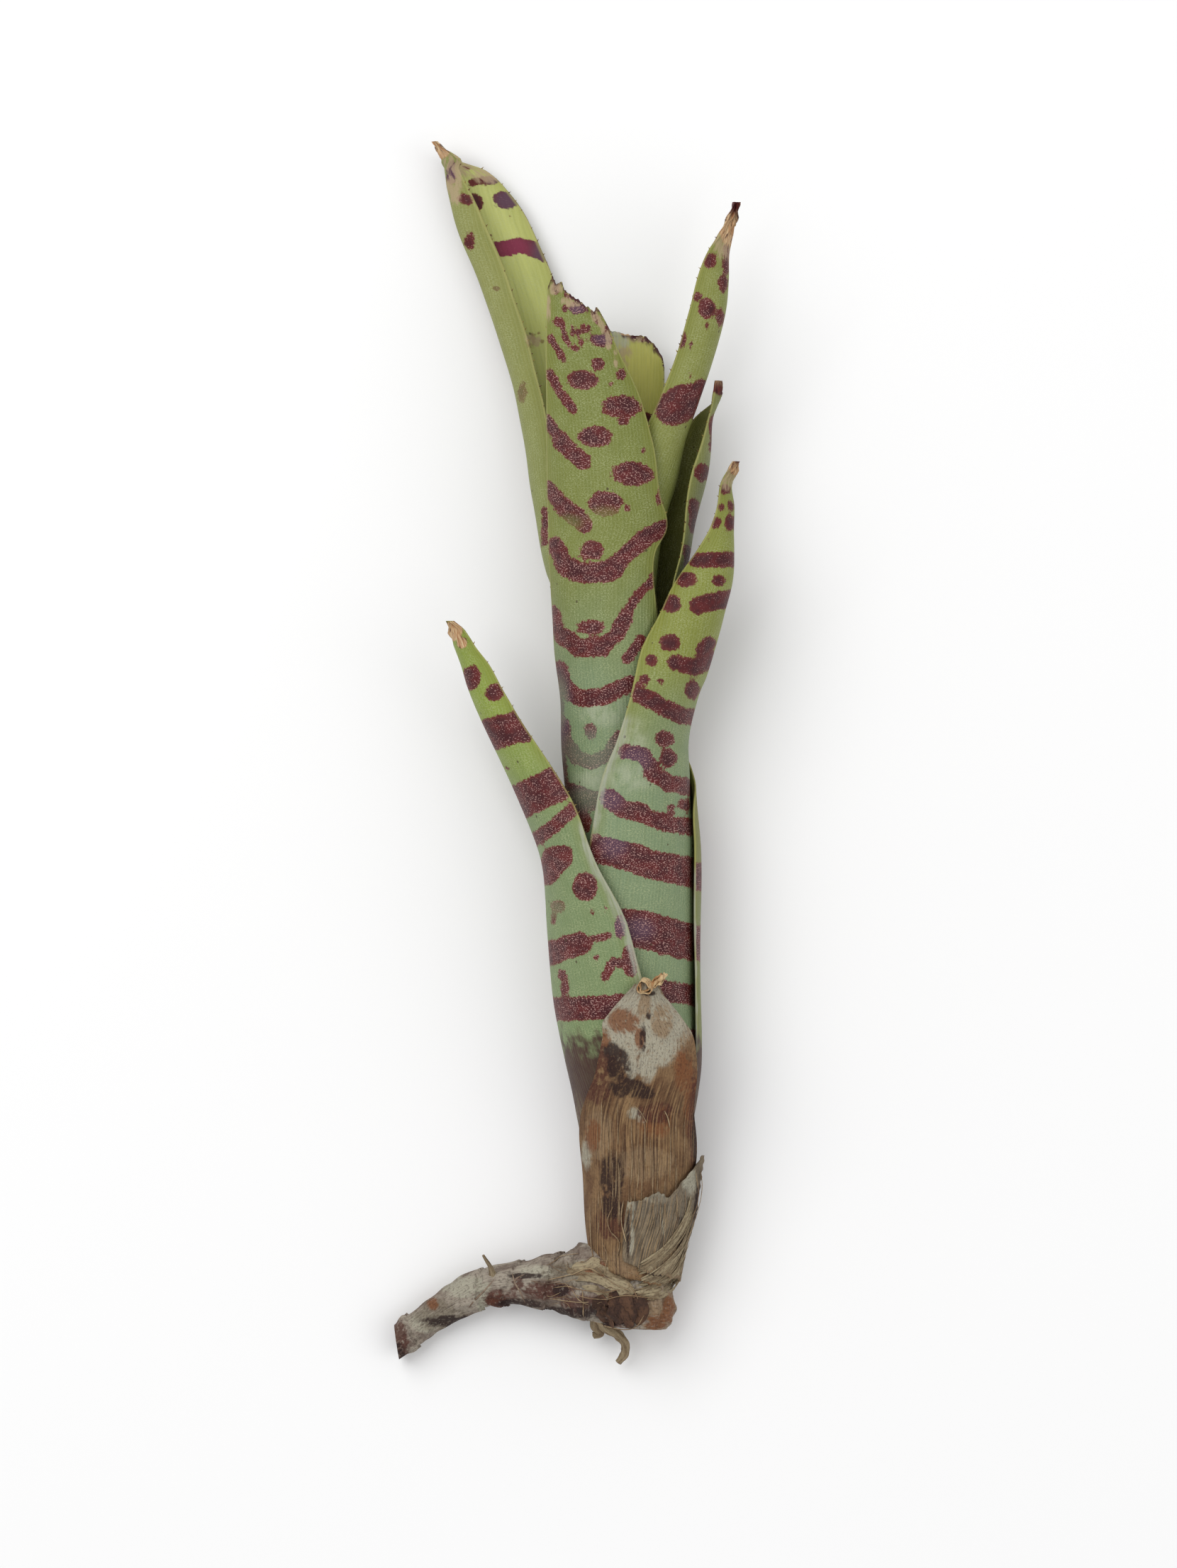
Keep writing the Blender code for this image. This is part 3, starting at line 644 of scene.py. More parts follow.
front_cut_marks = {
    "spots": (
        (822, 429, 18, 9), (848, 485, 33, 19), (843, 518, 19, 18), (822, 540, 43, 28),
        (876, 531, 15, 18), (876, 577, 58, 32), (878, 596, 20, 14), (839, 619, 48, 30), (891, 671, 60, 34),
        (853, 713, 47, 36), (907, 637, 9, 8), (884, 720, 8, 8), (834, 779, 34, 28), (833, 886, 40, 22),
        (833, 1032, 18, 22), (930, 702, 10, 20), (804, 421, 15, 12), (797, 440, 9, 10),
        (784, 398, 18, 12), (816, 439, 28, 18), (788, 458, 16, 16), (808, 470, 8, 15), (815, 474, 7, 10),
        (823, 468, 9, 11), (830, 467, 7, 12), (820, 488, 9, 14), (828, 484, 7, 7), (856, 470, 8, 12),
        (861, 546, 9, 7),
    ),
    "strokes": (
        (10, (776, 480), (786, 495), (796, 511)), (13, (775, 530), (790, 556), (808, 580)),
        (17, (771, 594), (790, 622)), (24, (790, 624), (822, 654)), (22, (773, 690), (792, 712)),
        (26, (792, 714), (824, 740)), (7, (784, 400), (785, 416)), (7, (836, 444), (841, 459)),
        (8, (793, 462), (797, 480), (803, 491), (814, 496)),
        (24, (783, 770), (792, 790)), (30, (798, 800), (815, 809), (850, 810), (866, 804)),
        (25, (866, 801), (890, 778), (914, 758), (938, 746)), (18, (781, 864), (788, 888)),
        (27, (796, 900), (815, 914), (850, 914)), (23, (850, 912), (868, 898), (882, 872)),
        (14, (882, 868), (894, 848), (912, 828), (926, 812)), (23, (789, 944), (796, 968)),
        (25, (800, 974), (820, 986), (850, 984), (888, 966)), (16, (884, 930), (904, 904)),
        (20, (793, 1020), (797, 1044), (812, 1068), (834, 1076), (856, 1066), (872, 1040)),
        (26, (806, 1118), (838, 1130)), (9, (824, 1156), (828, 1170)), (18, (815, 1136), (826, 1158)),
        # Painted shade: this thin stroke darkens the left margin where the leaf turns away.
        (8, (787, 940), (791, 1000), (795, 1060), (798, 1104)),
    ),
    "muted": (
        (834, 1060, 110, 80), (828, 1126, 70, 50), (853, 730, 60, 30), (802, 740, 50, 30),
        # This patch mutes the painted shade down the left margin.
        (790, 990, 30, 90),
    ),
    "rusty": ((824, 1160, 60, 60),),
    "purple": (
        # The long patch at (792, 1010) tints the painted shade down the left margin purple.
        (834, 1060, 120, 90), (826, 1126, 80, 60), (792, 1010, 40, 160), (814, 441, 30, 20),
        (850, 482, 40, 20),
    ),
    "milky": ((845, 1100, 90, 50), (850, 1005, 80, 50)),
    "sere": (
        (784, 410, 30, 26), (806, 430, 40, 20), (838, 446, 14, 30), (848, 462, 14, 36), (858, 484, 12, 38),
        (868, 508, 9, 38), (774, 440, 9, 50),
    ),
}
add_leaf(
    "front_cut", front_cut, -62,
    (
        (-1, 78.5), (-0.84, 80.4), (-0.66, 79.2), (-0.32, 79.2), (0, 77.4), (0.31, 76.4),
        (0.67, 74.2), (0.83, 75.6), (1, 71.5),
    ),
    front_cut_marks, greens=((112, 119, 52), (114, 132, 98), (6, 36), (120, 126, 62)), sparse=0.0,
    columns=110, frayed=0.42, crumple=((74, 80, 0.18, 3.5),), seed=14,
)


# Slim right leaf, behind the upper right one. It is folded nearly shut, so a dark strip of its
# inner face shows beside the outer one, up to a rounded tip that has dried brown.
slim_right = leaf_table(
    3 * LAYER,
    ((-68, -10, 240), (-30, 20, 240), (-4, 35, 235), (16, 50, 222)),
    (
        (28, 8.4, 12.6, 11.2, 1.0, 60, 197), (34, 11.2, 12.5, 9.8, 1.0, 57, 193),
        (37.7, 13.0, 12.4, 8.8, 1.0, 53, 195), (47.3, 17.9, 12.1, 6.0, 1.0, 33, 200),
        (52, 20.0, 12.0, 4.6, 1.0, 36, 203), (56.9, 22.1, 12.0, 2.9, 1.0, 44, 190),
        (59, 22.5, 12.1, 3.2, 1.0, 42, 150), (61, 22.5, 12.1, 3.8, 1.0, 39, 102),
        (62.3, 22.0, 11.8, 4.5, 1.0, 43, 80), (63.4, 21.5, 11.7, 5.0, 1.0, 53, 70),
    ),
)
slim_right_marks = {
    "spots": ((990, 667, 24, 26), (1004, 600, 10, 30), (1010, 620, 8, 12)),
    "strokes": ((16, (978, 712), (980, 746)), (14, (968, 776), (972, 800)), (8, (1002, 634), (1006, 618))),
    "dry": ((1016, 545, 34, 36),),
    "rusty": ((1014, 556, 40, 50),),
}
add_leaf(
    "slim_right", slim_right, -68, 63.2, slim_right_marks,
    greens=((118, 122, 74), (112, 118, 68), (20, 50), (100, 100, 38)),
    crumple=((58, 62, 0.2, 2.5),), seed=15,
)


# Front right leaf. Its sheath closes over the front of the tube with a whitish margin, and its
# blade folds over to the right and runs out to a hooked pink-tan tip.
front_right = leaf_table(
    2 * LAYER,
    ((-75, -90, 150), (-50, -70, 152), (-28, -45, 155), (-12, -26, 155), (-4, -15, 155), (2, -2, 155)),
    (
        (9.8, 11.6, 13.4, 10.9, 1.0, -4, 155), (13.2, 14.0, 14.0, 9.9, 1.0, -14, 158),
        (18.2, 16.7, 14.8, 8.6, 1.0, -26, 160), (23.6, 19.6, 15.6, 7.2, 1.0, -33, 160),
        (28.7, 22.0, 16.1, 6.0, 1.0, -40, 158), (34.4, 24.4, 16.5, 4.0, 1.0, -37, 150),
        (38, 25.0, 16.6, 3.4, 1.0, -14, 135), (42, 25.2, 16.4, 3.2, 1.0, 5, 108),
        (45.5, 24.5, 16.2, 3.6, 1.0, 26, 90), (48, 24.8, 15.7, 4.5, 1.0, 34, 75),
        (49.6, 24.7, 15.5, 5.0, 1.0, 46, 64),
    ),
)
front_right_marks = {
    "spots": (
        (1022, 692, 15, 15), (1016, 717, 13, 12), (1030, 715, 10, 14), (1008, 739, 16, 17),
        (1029, 739, 17, 24), (998, 763, 5, 6), (967, 819, 32, 20), (1012, 821, 20, 18),
        (945, 853, 28, 28), (943, 908, 30, 24), (918, 933, 18, 17), (908, 960, 15, 14), (899, 968, 9, 10),
        (931, 962, 9, 10), (976, 974, 24, 26), (937, 1043, 28, 24), (942, 1069, 26, 26),
        (1034, 664, 12, 8), (966, 1136, 20, 16), (946, 1140, 12, 14),
    ),
    "strokes": (
        (22, (980, 792), (1050, 790)), (26, (984, 856), (1006, 850), (1040, 842)),
        (24, (952, 936), (980, 942), (1004, 930)), (20, (990, 918), (1000, 908)),
        (24, (901, 980), (930, 996), (960, 1010), (1010, 1016)),
        (22, (882, 1060), (906, 1064), (920, 1084)), (25, (918, 1090), (945, 1106), (1000, 1116)),
        (26, (858, 1126), (880, 1142), (906, 1146)), (24, (908, 1150), (940, 1162), (1010, 1172)),
        (40, (836, 1196), (880, 1206), (930, 1222), (1010, 1240)), (34, (930, 1218), (1010, 1232)),
        (52, (884, 1306), (930, 1318), (1010, 1336)), (20, (885, 1290), (925, 1296)),
        (30, (936, 1396), (1010, 1410)), (60, (960, 1480), (1010, 1485)), (16, (984, 1250), (986, 1270)),
    ),
    "purple": ((858, 1128, 60, 44), (866, 1190, 50, 50), (900, 1310, 60, 40), (896, 1070, 60, 50)),
    "milky": ((893, 1042, 50, 70), (890, 1096, 90, 50)),
    "dry": ((1036, 660, 26, 30),),
    "rusty": ((1040, 653, 12, 10),),
    "sere": ((1030, 668, 30, 40), (1024, 682, 20, 30)),
}
add_leaf(
    "front_right", front_right, -75, 49.4, front_right_marks,
    greens=((124, 130, 52), (116, 134, 100), (-6, 20), (116, 122, 50)),
    columns=120, crumple=((45, 49, 0.3, 2.5),), hidden_bands=(10.5, 3.0),
    white_margin=(-1, -16.0, 8.0, 2.0), seed=16,
)


# Back leaf. The plant lies on it, so its belly is settled flat and its short blade runs on along
# the surface. From the front only its olive margin shows.
back = leaf_table(
    LAYER,
    ((-79, 66, 262), (-52, 66, 262), (-28, 66, 245), (-16, 68, 232), (-8, 76, 226)),
    (
        (-3, 9.1, 12.2, 12.8, 1.0, 104, 224), (3, 9.1, 12.4, 13.0, 1.0, 128, 222),
        (14, 9.6, 12.5, 13.1, 1.0, 142, 217), (22, 10.0, 12.5, 13.1, 1.0, 155, 207),
        (28, 10.4, 12.5, 13.1, 1.0, 172, 192), (31, 10.8, 12.5, 13.1, 1.0, 179, 183),
    ),
)
back_marks = {
    "strokes": (
        (40, (980, 1236), (1010, 1240)), (50, (980, 1330), (1010, 1336)),
        (30, (975, 1092), (1010, 1096)),
    ),
    "muted": ((985, 1092, 50, 50),),
}
add_leaf(
    "back", back, -79, 30.7, back_marks,
    greens=((112, 106, 36), (112, 118, 70), (-30, 0), (110, 114, 58)), scurf=0.3,
    crumple=((24, 30, 0.2, 3.0),), hidden_bands=(9.5, 1.0), white_margin=(-1, -62.0, -18.0, 0.6),
    seed=17, on_surface=True,
)


# Front left leaf, the outermost living one. Its short blade leans out to the left, its right
# margin is toothed, and the margin of its sheath is whitish where it crosses the tube.
front_left = leaf_table(
    0.0,
    (
        (-82, -140, 60), (-60, -140, 40), (-44, -140, 16), (-36.6, -140, 8), (-28.6, -140, 0),
        (-24.7, -141, -7),
    ),
    (
        (-18.5, 9.0, 12.2, 13.3, 1.0, -144, -17), (-14.2, 6.3, 12.3, 11.8, 1.0, -150, -14),
        (-6.8, 0.2, 12.9, 8.7, 1.0, -162, 2), (4.8, -8.4, 14.0, 5.6, 1.0, -165, 14),
        (11, -12.2, 14.6, 4.3, 1.0, -160, 20), (15, -14.1, 15.0, 3.6, 1.0, -155, 20),
        (18, -15.3, 15.0, 3.6, 1.0, -125, 2), (20, -15.7, 14.9, 4.0, 1.0, -96, -11),
        (21.4, -15.6, 14.5, 4.6, 1.0, -74, -27), (22.6, -15.7, 14.5, 5.0, 1.0, -64, -46),
    ),
)
front_left_marks = {
    "spots": (
        (665, 956, 26, 34), (699, 977, 27, 26), (825, 1250, 36, 40), (783, 1212, 40, 36),
        (787, 1278, 24, 18), (835, 1285, 7, 10), (854, 1281, 5, 7), (781, 1298, 7, 14), (874, 1306, 17, 32),
        (841, 1350, 8, 9), (793, 1374, 16, 14), (797, 1392, 12, 22), (716, 1084, 6, 5), (652, 908, 14, 16),
    ),
    "strokes": (
        (46, (692, 1036), (738, 1024)), (50, (735, 1130), (786, 1106)),
        (20, (750, 1188), (778, 1168), (810, 1140)),
        (34, (770, 1232), (792, 1208)), (34, (768, 1348), (800, 1335), (818, 1330)),
        (12, (822, 1326), (858, 1318)), (14, (854, 1376), (864, 1355), (884, 1358)),
        (34, (776, 1424), (830, 1420), (886, 1416)), (18, (886, 1340), (890, 1368)),
    ),
    "purple": ((874, 1306, 34, 44),),
    "muted": ((787, 1282, 60, 34),),
    "dry": ((640, 890, 36, 40), (652, 908, 20, 20)),
}
add_leaf(
    "front_left", front_left, -82, 22.5, front_left_marks,
    greens=((128, 144, 56), (112, 130, 88), (-14, 6), (116, 122, 50)), sparse=0.03,
    columns=120, crumple=((17, 22, 0.3, 2.5),), hidden_bands=(9.0, 2.0),
    white_margin=(1, -42.0, -10.0, 2.2), seed=18,
)


# Spines. Every living leaf has small hooked spines along its margins, brown at their points and
# leaning towards the leaf's tip.
SPINE_ROOM = 2.3          # from one spine to the next
SPINE_LONG = 0.42
SPINE_THICK = 0.13
SPINE_POINT = 0.02
SPINE_SUNK = 0.08         # how deep its foot sits in the margin
SPINE_SIDES = 5
SPINE_SPECKS = 400.0      # specks of colour in a metre


def add_spines(bm, table, depth_in, low, high, seed):
    """Set spines along both margins of a leaf between two heights."""
    just_inside, just_ahead = 0.98, 0.1
    draw = np.random.default_rng(seed)
    for side in (-1.0, 1.0):
        y = low + draw.uniform(0, SPINE_ROOM)
        while y < high:
            u, ys = np.array([side, side * just_inside, side]), np.array([y, y, y + just_ahead])
            foot, inside, further = (Vector(p) for p in leaf_points(table, u, ys, depth_in)[0])
            out = (foot - inside).normalized()
            ahead = (further - foot).normalized()
            way = (out + ahead * draw.uniform(0.4, 1.1)).normalized()
            long = SPINE_LONG * draw.uniform(0.5, 1.25)
            turn = Vector((0, 0, 1)).rotation_difference(way).to_matrix().to_4x4()
            place = Matrix.Translation((foot + way * (long / 2 - SPINE_SUNK)) * MM) @ turn
            bmesh.ops.create_cone(
                bm, cap_ends=True, segments=SPINE_SIDES, radius1=SPINE_THICK * MM,
                radius2=SPINE_POINT * MM, depth=long * MM, matrix=place,
            )
            y += SPINE_ROOM * draw.uniform(0.5, 1.6)


def spine_finish():
    """Hard leaf tissue, speckled brown and olive."""
    f = Finish("spine", roughness=0.5)
    place = f.add("ShaderNodeTexCoord", {}, "Object")
    fine = (SPINE_SPECKS, SPINE_SPECKS, SPINE_SPECKS)
    place = f.add("ShaderNodeVectorMath", {0: place, 1: fine}, operation="MULTIPLY")
    speckled = f.step(f.noise(place), 0.4, 0.6)
    return f.close(f.mix(speckled, linear(86, 48, 26), linear(150, 132, 66)))


bm = bmesh.new()
for table, low, high, seed in (
    (upper_right, 40, 91, 1), (tall_left, 48, 101, 2), (front_cut, 28, 72, 3),
    (slim_right, 24, 61, 4), (front_right, 6, 47, 5), (front_left, -14, 20.5, 6),
    (inner_cut, 50, 66, 7), (back, 0, 20, 8),
):
    add_spines(bm, table, THIN_EDGE / 2, low, high, seed)
mesh = close_mesh("marginal_spines", bm)
add_piece("marginal_spines", mesh, spine_finish())


# Papery leaf. The lowest leaf of the offset has died to a thin brown skin that closes over the
# front of the tube. Rain and rot have stained it, its fibres stand out, and its edges are loose.
DRY_LAYER = 1.0
PAPER = 0.45

# The stains that a mesh can map: their colour, how much of it shows and how ragged they are.
# On the runner the dark and bleached ones also paint shade and highlight.
STAINS = {
    "bleached": ((172, 168, 150), 0.85, 2.4),
    "grey": ((122, 112, 96), 0.8, 3.5),
    "tan": ((142, 118, 90), 0.8, 3.0),
    "orange": ((122, 76, 46), 0.85, 3.0),
    "maroon": ((80, 44, 36), 0.85, 4.0),
    "dark": ((42, 28, 27), 0.92, 3.2),
}
PALE_FIBRE = linear(166, 136, 96)


def dry_finish(name, light, middle, dark, fibre=0.62, height=0.16):
    """Dead leaf skin or bark: the stains that the mesh maps, and uneven fibres along it. On the runner the
    mapped dark marks also paint shade, and the bleached ones partly paint highlight.
    """
    light, middle, dark = linear(*light), linear(*middle), linear(*dark)
    f = Finish(name, roughness=0.8, specular=0.2)
    clouds = f.noise(f.skin(3.0, 5.0), 5.0)
    grit = f.noise(f.skin(0.35, 0.5), 4.0)
    fine = f.noise(f.skin(0.16, 3.0), 4.0)
    colour = f.mix(f.step(clouds, 0.42, 0.58), middle, light)
    for number, (stain, (tint, share, ragged)) in enumerate(STAINS.items()):
        small = f.noise(f.skin(0.6 + 0.05 * number, 1.1), 5.0)
        large = f.noise(f.skin(2.4, 3.2 + 0.3 * number), 4.0)
        uneven = f.sum(f.times(f.sum(small, -0.5), ragged), f.times(f.sum(large, -0.5), 2.5))
        spread = f.times(f.field(stain), f.sum(1.0, uneven))
        colour = f.mix(f.times(f.step(spread, 0.1, 0.8), share), colour, linear(*tint))
    lines = f.add("ShaderNodeSeparateXYZ", {0: f.skin(fibre / (2 * math.pi), 1.0)}, "X")
    sway = f.times(f.noise(f.skin(3.0, 16.0), 1.0), 6.0)
    lines = f.add("ShaderNodeMath", {0: f.sum(lines, sway)}, operation="SINE")
    rows = f.sum(f.noise(f.skin(fibre * 0.5, 9.0), 2.0), f.times(lines, 0.07))
    fibrous = f.field("fibrous")
    ridges = f.times(fibrous, f.step(rows, 0.52, 0.64))
    grooves = f.times(fibrous, f.step(rows, 0.48, 0.36))
    colour = f.mix(f.times(ridges, 0.5), colour, PALE_FIBRE)
    colour = f.mix(f.times(grooves, 0.7), colour, dark)
    colour = f.mix(f.times(f.step(fine, 0.5, 0.64), 0.3), colour, dark)
    gritty = f.sum(0.42, f.times(fibrous, -0.26))
    colour = f.mix(f.times(f.step(grit, 0.52, 0.64), gritty), colour, dark)
    colour = f.mix(f.times(f.step(grit, 0.46, 0.34), 0.3), colour, light)
    rough = f.sum(f.times(f.times(fibrous, rows), 1.8), f.times(grit, 0.9))
    return f.close(colour, relief=f.sum(f.times(fine, 0.8), rough), height=height)


papery = leaf_table(
    -DRY_LAYER,
    (
        (-91, -80, 78), (-85, -84, 78), (-70, -84, 75), (-61, -60, 55), (-54.8, -36, 51),
        (-47.4, -23, 47), (-45.2, -22, 40), (-43.2, -15, 33), (-40.7, -5, 24), (-38.6, 3, 20),
        (-36.4, 8, 16),
    ),
    (),
)
papery_foot = (
    (-1, -84.5), (-0.7, -86.4), (-0.4, -87.8), (-0.1, -88.8), (0.2, -89.3), (0.5, -90), (1, -89),
)
papery_top = ((-1, -38.9), (-0.3, -38.0), (0.3, -38.0), (1, -38.9))
papery_marks = {
    "fibrous": (
        (905, 1610, 200, 170), (930, 1570, 120, 140), (860, 1580, 90, 110), (850, 1760, 90, 170),
    ),
    "bleached": (
        (905, 1440, 170, 150), (868, 1418, 60, 70), (884, 1474, 34, 70), (890, 1500, 22, 50),
        (948, 1436, 50, 90), (924, 1478, 80, 60), (912, 1500, 36, 60), (893, 1568, 24, 22),
        (905, 1576, 20, 18), (828, 1626, 20, 60),
    ),
    "orange": (
        (880, 1438, 56, 46), (902, 1462, 18, 40), (852, 1466, 22, 30), (964, 1510, 36, 80),
        (976, 1560, 30, 120), (925, 1580, 60, 60), (836, 1600, 30, 60),
    ),
    "tan": (
        (908, 1416, 26, 50), (932, 1438, 40, 60), (905, 1640, 120, 60), (845, 1600, 50, 90),
        (880, 1780, 60, 60), (850, 1785, 50, 50),
    ),
    "dark": (
        (872, 1500, 46, 60), (884, 1532, 64, 36), (862, 1480, 30, 30), (908, 1538, 40, 26),
        (864, 1660, 44, 90), (862, 1700, 40, 50), (914, 1430, 9, 14), (906, 1462, 12, 50),
        (915, 1399, 26, 9), (982, 1600, 16, 120),
    ),
    "maroon": (
        (848, 1500, 50, 70), (842, 1536, 50, 50), (862, 1726, 54, 56), (980, 1590, 24, 200),
        (925, 1568, 70, 40),
    ),
}
mesh = grow_leaf(
    "papery_leaf", papery, papery_foot, papery_top, papery_marks, columns=130, row=0.4,
    thick=PAPER, frayed=0.3, crumple=((-60, -36, 0.12, 2.5),), seed=21,
)
finish = dry_finish("papery_basal_leaf", (130, 102, 72), (106, 78, 54), (60, 40, 31))
add_piece("papery_basal_leaf", mesh, finish, node="papery_leaf")


# Torn sheath. What is left of an older leaf base clings round the lower right of the tube. It is
# grey, worn to its fibres, and torn off along a ragged line.
torn = leaf_table(
    -2 * DRY_LAYER,
    ((-90, -14, 122), (-80, -13, 122), (-74, -8, 121), (-70, 6, 120), (-64, 34, 116)),
    (),
)
torn_foot = ((-1, -85.5), (-0.5, -88), (1, -90))
torn_top = (
    (-1, -75.5), (-0.8, -75.3), (-0.6, -73.8), (-0.4, -74.9), (-0.2, -72), (0, -69.2),
    (0.2, -68), (0.5, -70), (0.8, -74), (1, -77),
)
torn_marks = {
    "fibrous": ((920, 1740, 140, 160),),
    "bleached": (
        (926, 1688, 44, 20), (890, 1706, 16, 40), (972, 1666, 26, 60), (936, 1712, 8, 70),
        (890, 1745, 12, 60),
    ),
    "grey": ((930, 1700, 90, 60), (960, 1700, 50, 60)),
    "tan": ((940, 1800, 80, 60), (955, 1770, 50, 60)),
    "dark": (
        (985, 1720, 16, 120), (960, 1745, 20, 90), (920, 1800, 44, 14), (944, 1790, 40, 12),
        (886, 1740, 8, 90),
    ),
}
mesh = grow_leaf(
    "torn_sheath", torn, torn_foot, torn_top, torn_marks, columns=110, row=0.3, thick=PAPER,
    frayed=0.35, crumple=((-92, -70, 0.15, 2.0),), seed=22,
)
finish = dry_finish(
    "torn_grey_sheath", (128, 114, 94), (104, 92, 76), (60, 50, 42), fibre=0.45,
)
add_piece("torn_grey_sheath", mesh, finish, node="torn_sheath")


# Curled tip of the papery leaf. The dead point has rolled up into a small tan scroll, and a torn
# lobe of it stands up beside the scroll.
SCROLL_AT = (909, 1388)          # pixels
SCROLL_MIDDLE = 25.6             # above the surface
SCROLL_AXIS = (-0.25, -0.35, 0.9)
SCROLL_TURNS = 1.7
SCROLL_START = 2.4               # the angle at which it starts, in radians
SCROLL_RADIUS = (0.75, 1.45)     # inside and outside
SCROLL_HIGH = 1.9
LOBE_AT = (927, 1381)
LOBE_MIDDLE = 26.2
LOBE_HALF = (1.5, 1.1)
CURL_THICK = 0.18


def start_skin():
    """An empty mesh that stores a place on the skin at each vertex."""
    bm = bmesh.new()
    bm.verts.layers.float_vector.new("skin")
    return bm


bm = start_skin()
skin = bm.verts.layers.float_vector["skin"]
lean = Vector((0, 0, 1)).rotation_difference(Vector(SCROLL_AXIS)).to_matrix().to_4x4()
lean = Matrix.Translation((*seen_at(*SCROLL_AT), SCROLL_MIDDLE)) @ lean
for vert in bmesh.ops.create_grid(bm, x_segments=60, y_segments=8, size=1.0)["verts"]:
    share, up = (vert.co.x + 1) / 2, vert.co.y
    turn = share * SCROLL_TURNS * 2 * math.pi + SCROLL_START
    radius = SCROLL_RADIUS[0] + (SCROLL_RADIUS[1] - SCROLL_RADIUS[0]) * share
    radius += 0.12 * math.sin(turn * 3.3)
    high = up * SCROLL_HIGH / 2 * (1 + 0.15 * math.sin(turn * 2.1)) + 0.15 * math.sin(turn * 5)
    vert[skin] = (turn, high, 3.0)
    vert.co = lean @ Vector((radius * math.cos(turn), radius * math.sin(turn), high)) * MM

# The lobe is a rounded flap with waves in its edge and face, turned and tilted beside the scroll.
lobe_x, lobe_y = seen_at(*LOBE_AT)
for vert in bmesh.ops.create_grid(bm, x_segments=20, y_segments=16, size=1.0)["verts"]:
    u, v = vert.co.x, vert.co.y
    x = u * LOBE_HALF[0] * math.sqrt(max(1 - 0.5 * v * v, 0.1)) + 0.2 * math.sin(v * 6)
    y = v * LOBE_HALF[1] * math.sqrt(max(1 - 0.5 * u * u, 0.1)) + 0.15 * math.sin(u * 7)
    z = 0.5 * math.sin(u * 4.5 + v) + 0.4 * math.cos(v * 5 - u * 2) + 0.5 * u
    vert[skin] = (x, y, 9.0)
    place = (lobe_x + x * 0.9 + y * 0.3, lobe_y + y + x * 0.5, LOBE_MIDDLE + z * 0.8)
    vert.co = Vector(place) * MM
bmesh.ops.recalc_face_normals(bm, faces=bm.faces[:])
bmesh.ops.solidify(bm, geom=bm.faces[:], thickness=CURL_THICK * MM)
mesh = close_mesh("curled_tip", bm)
finish = dry_finish("curled_tip", (206, 180, 138), (168, 126, 84), (96, 58, 38), height=0.08)
add_piece("curled_tip", mesh, finish)


# Stem with its runner and roots. The stem is woody and cut off below. The runner that carried the
# offset grows out of its left side, is wrapped in dry scales and ends in a cut.
CUT_RINGS = 6               # rings of vertices in each flat cut end
FINE_LUMPS = (0.07, 0.9)    # share of the radius and spread
SCALE_HIGH = 0.55           # how far a dry scale's edge stands off
CUT_TAN = 0.8               # how much of the tan stain a cut end has
END_GAP = 0.011             # how near to its ends, in stations, a curve is read
SEAM = 0.00002              # metres between vertices that are one


def sweep(stations, places):
    """Points, radii and directions along a smooth curve through stations (x, y, z, radius)."""
    table = [(i, *s) for i, s in enumerate(stations)]
    read = smooth(table, places)
    ahead = smooth(table, places + 0.01) - smooth(table, places - 0.01)
    way = ahead[:, :3] / (np.linalg.norm(ahead[:, :3], axis=1)[:, None] + 1e-12)
    side = np.cross(way, (0.0, 0.0, 1.0))
    side /= np.linalg.norm(side, axis=1)[:, None]
    return read[:, :3], read[:, 3], side, np.cross(side, way)


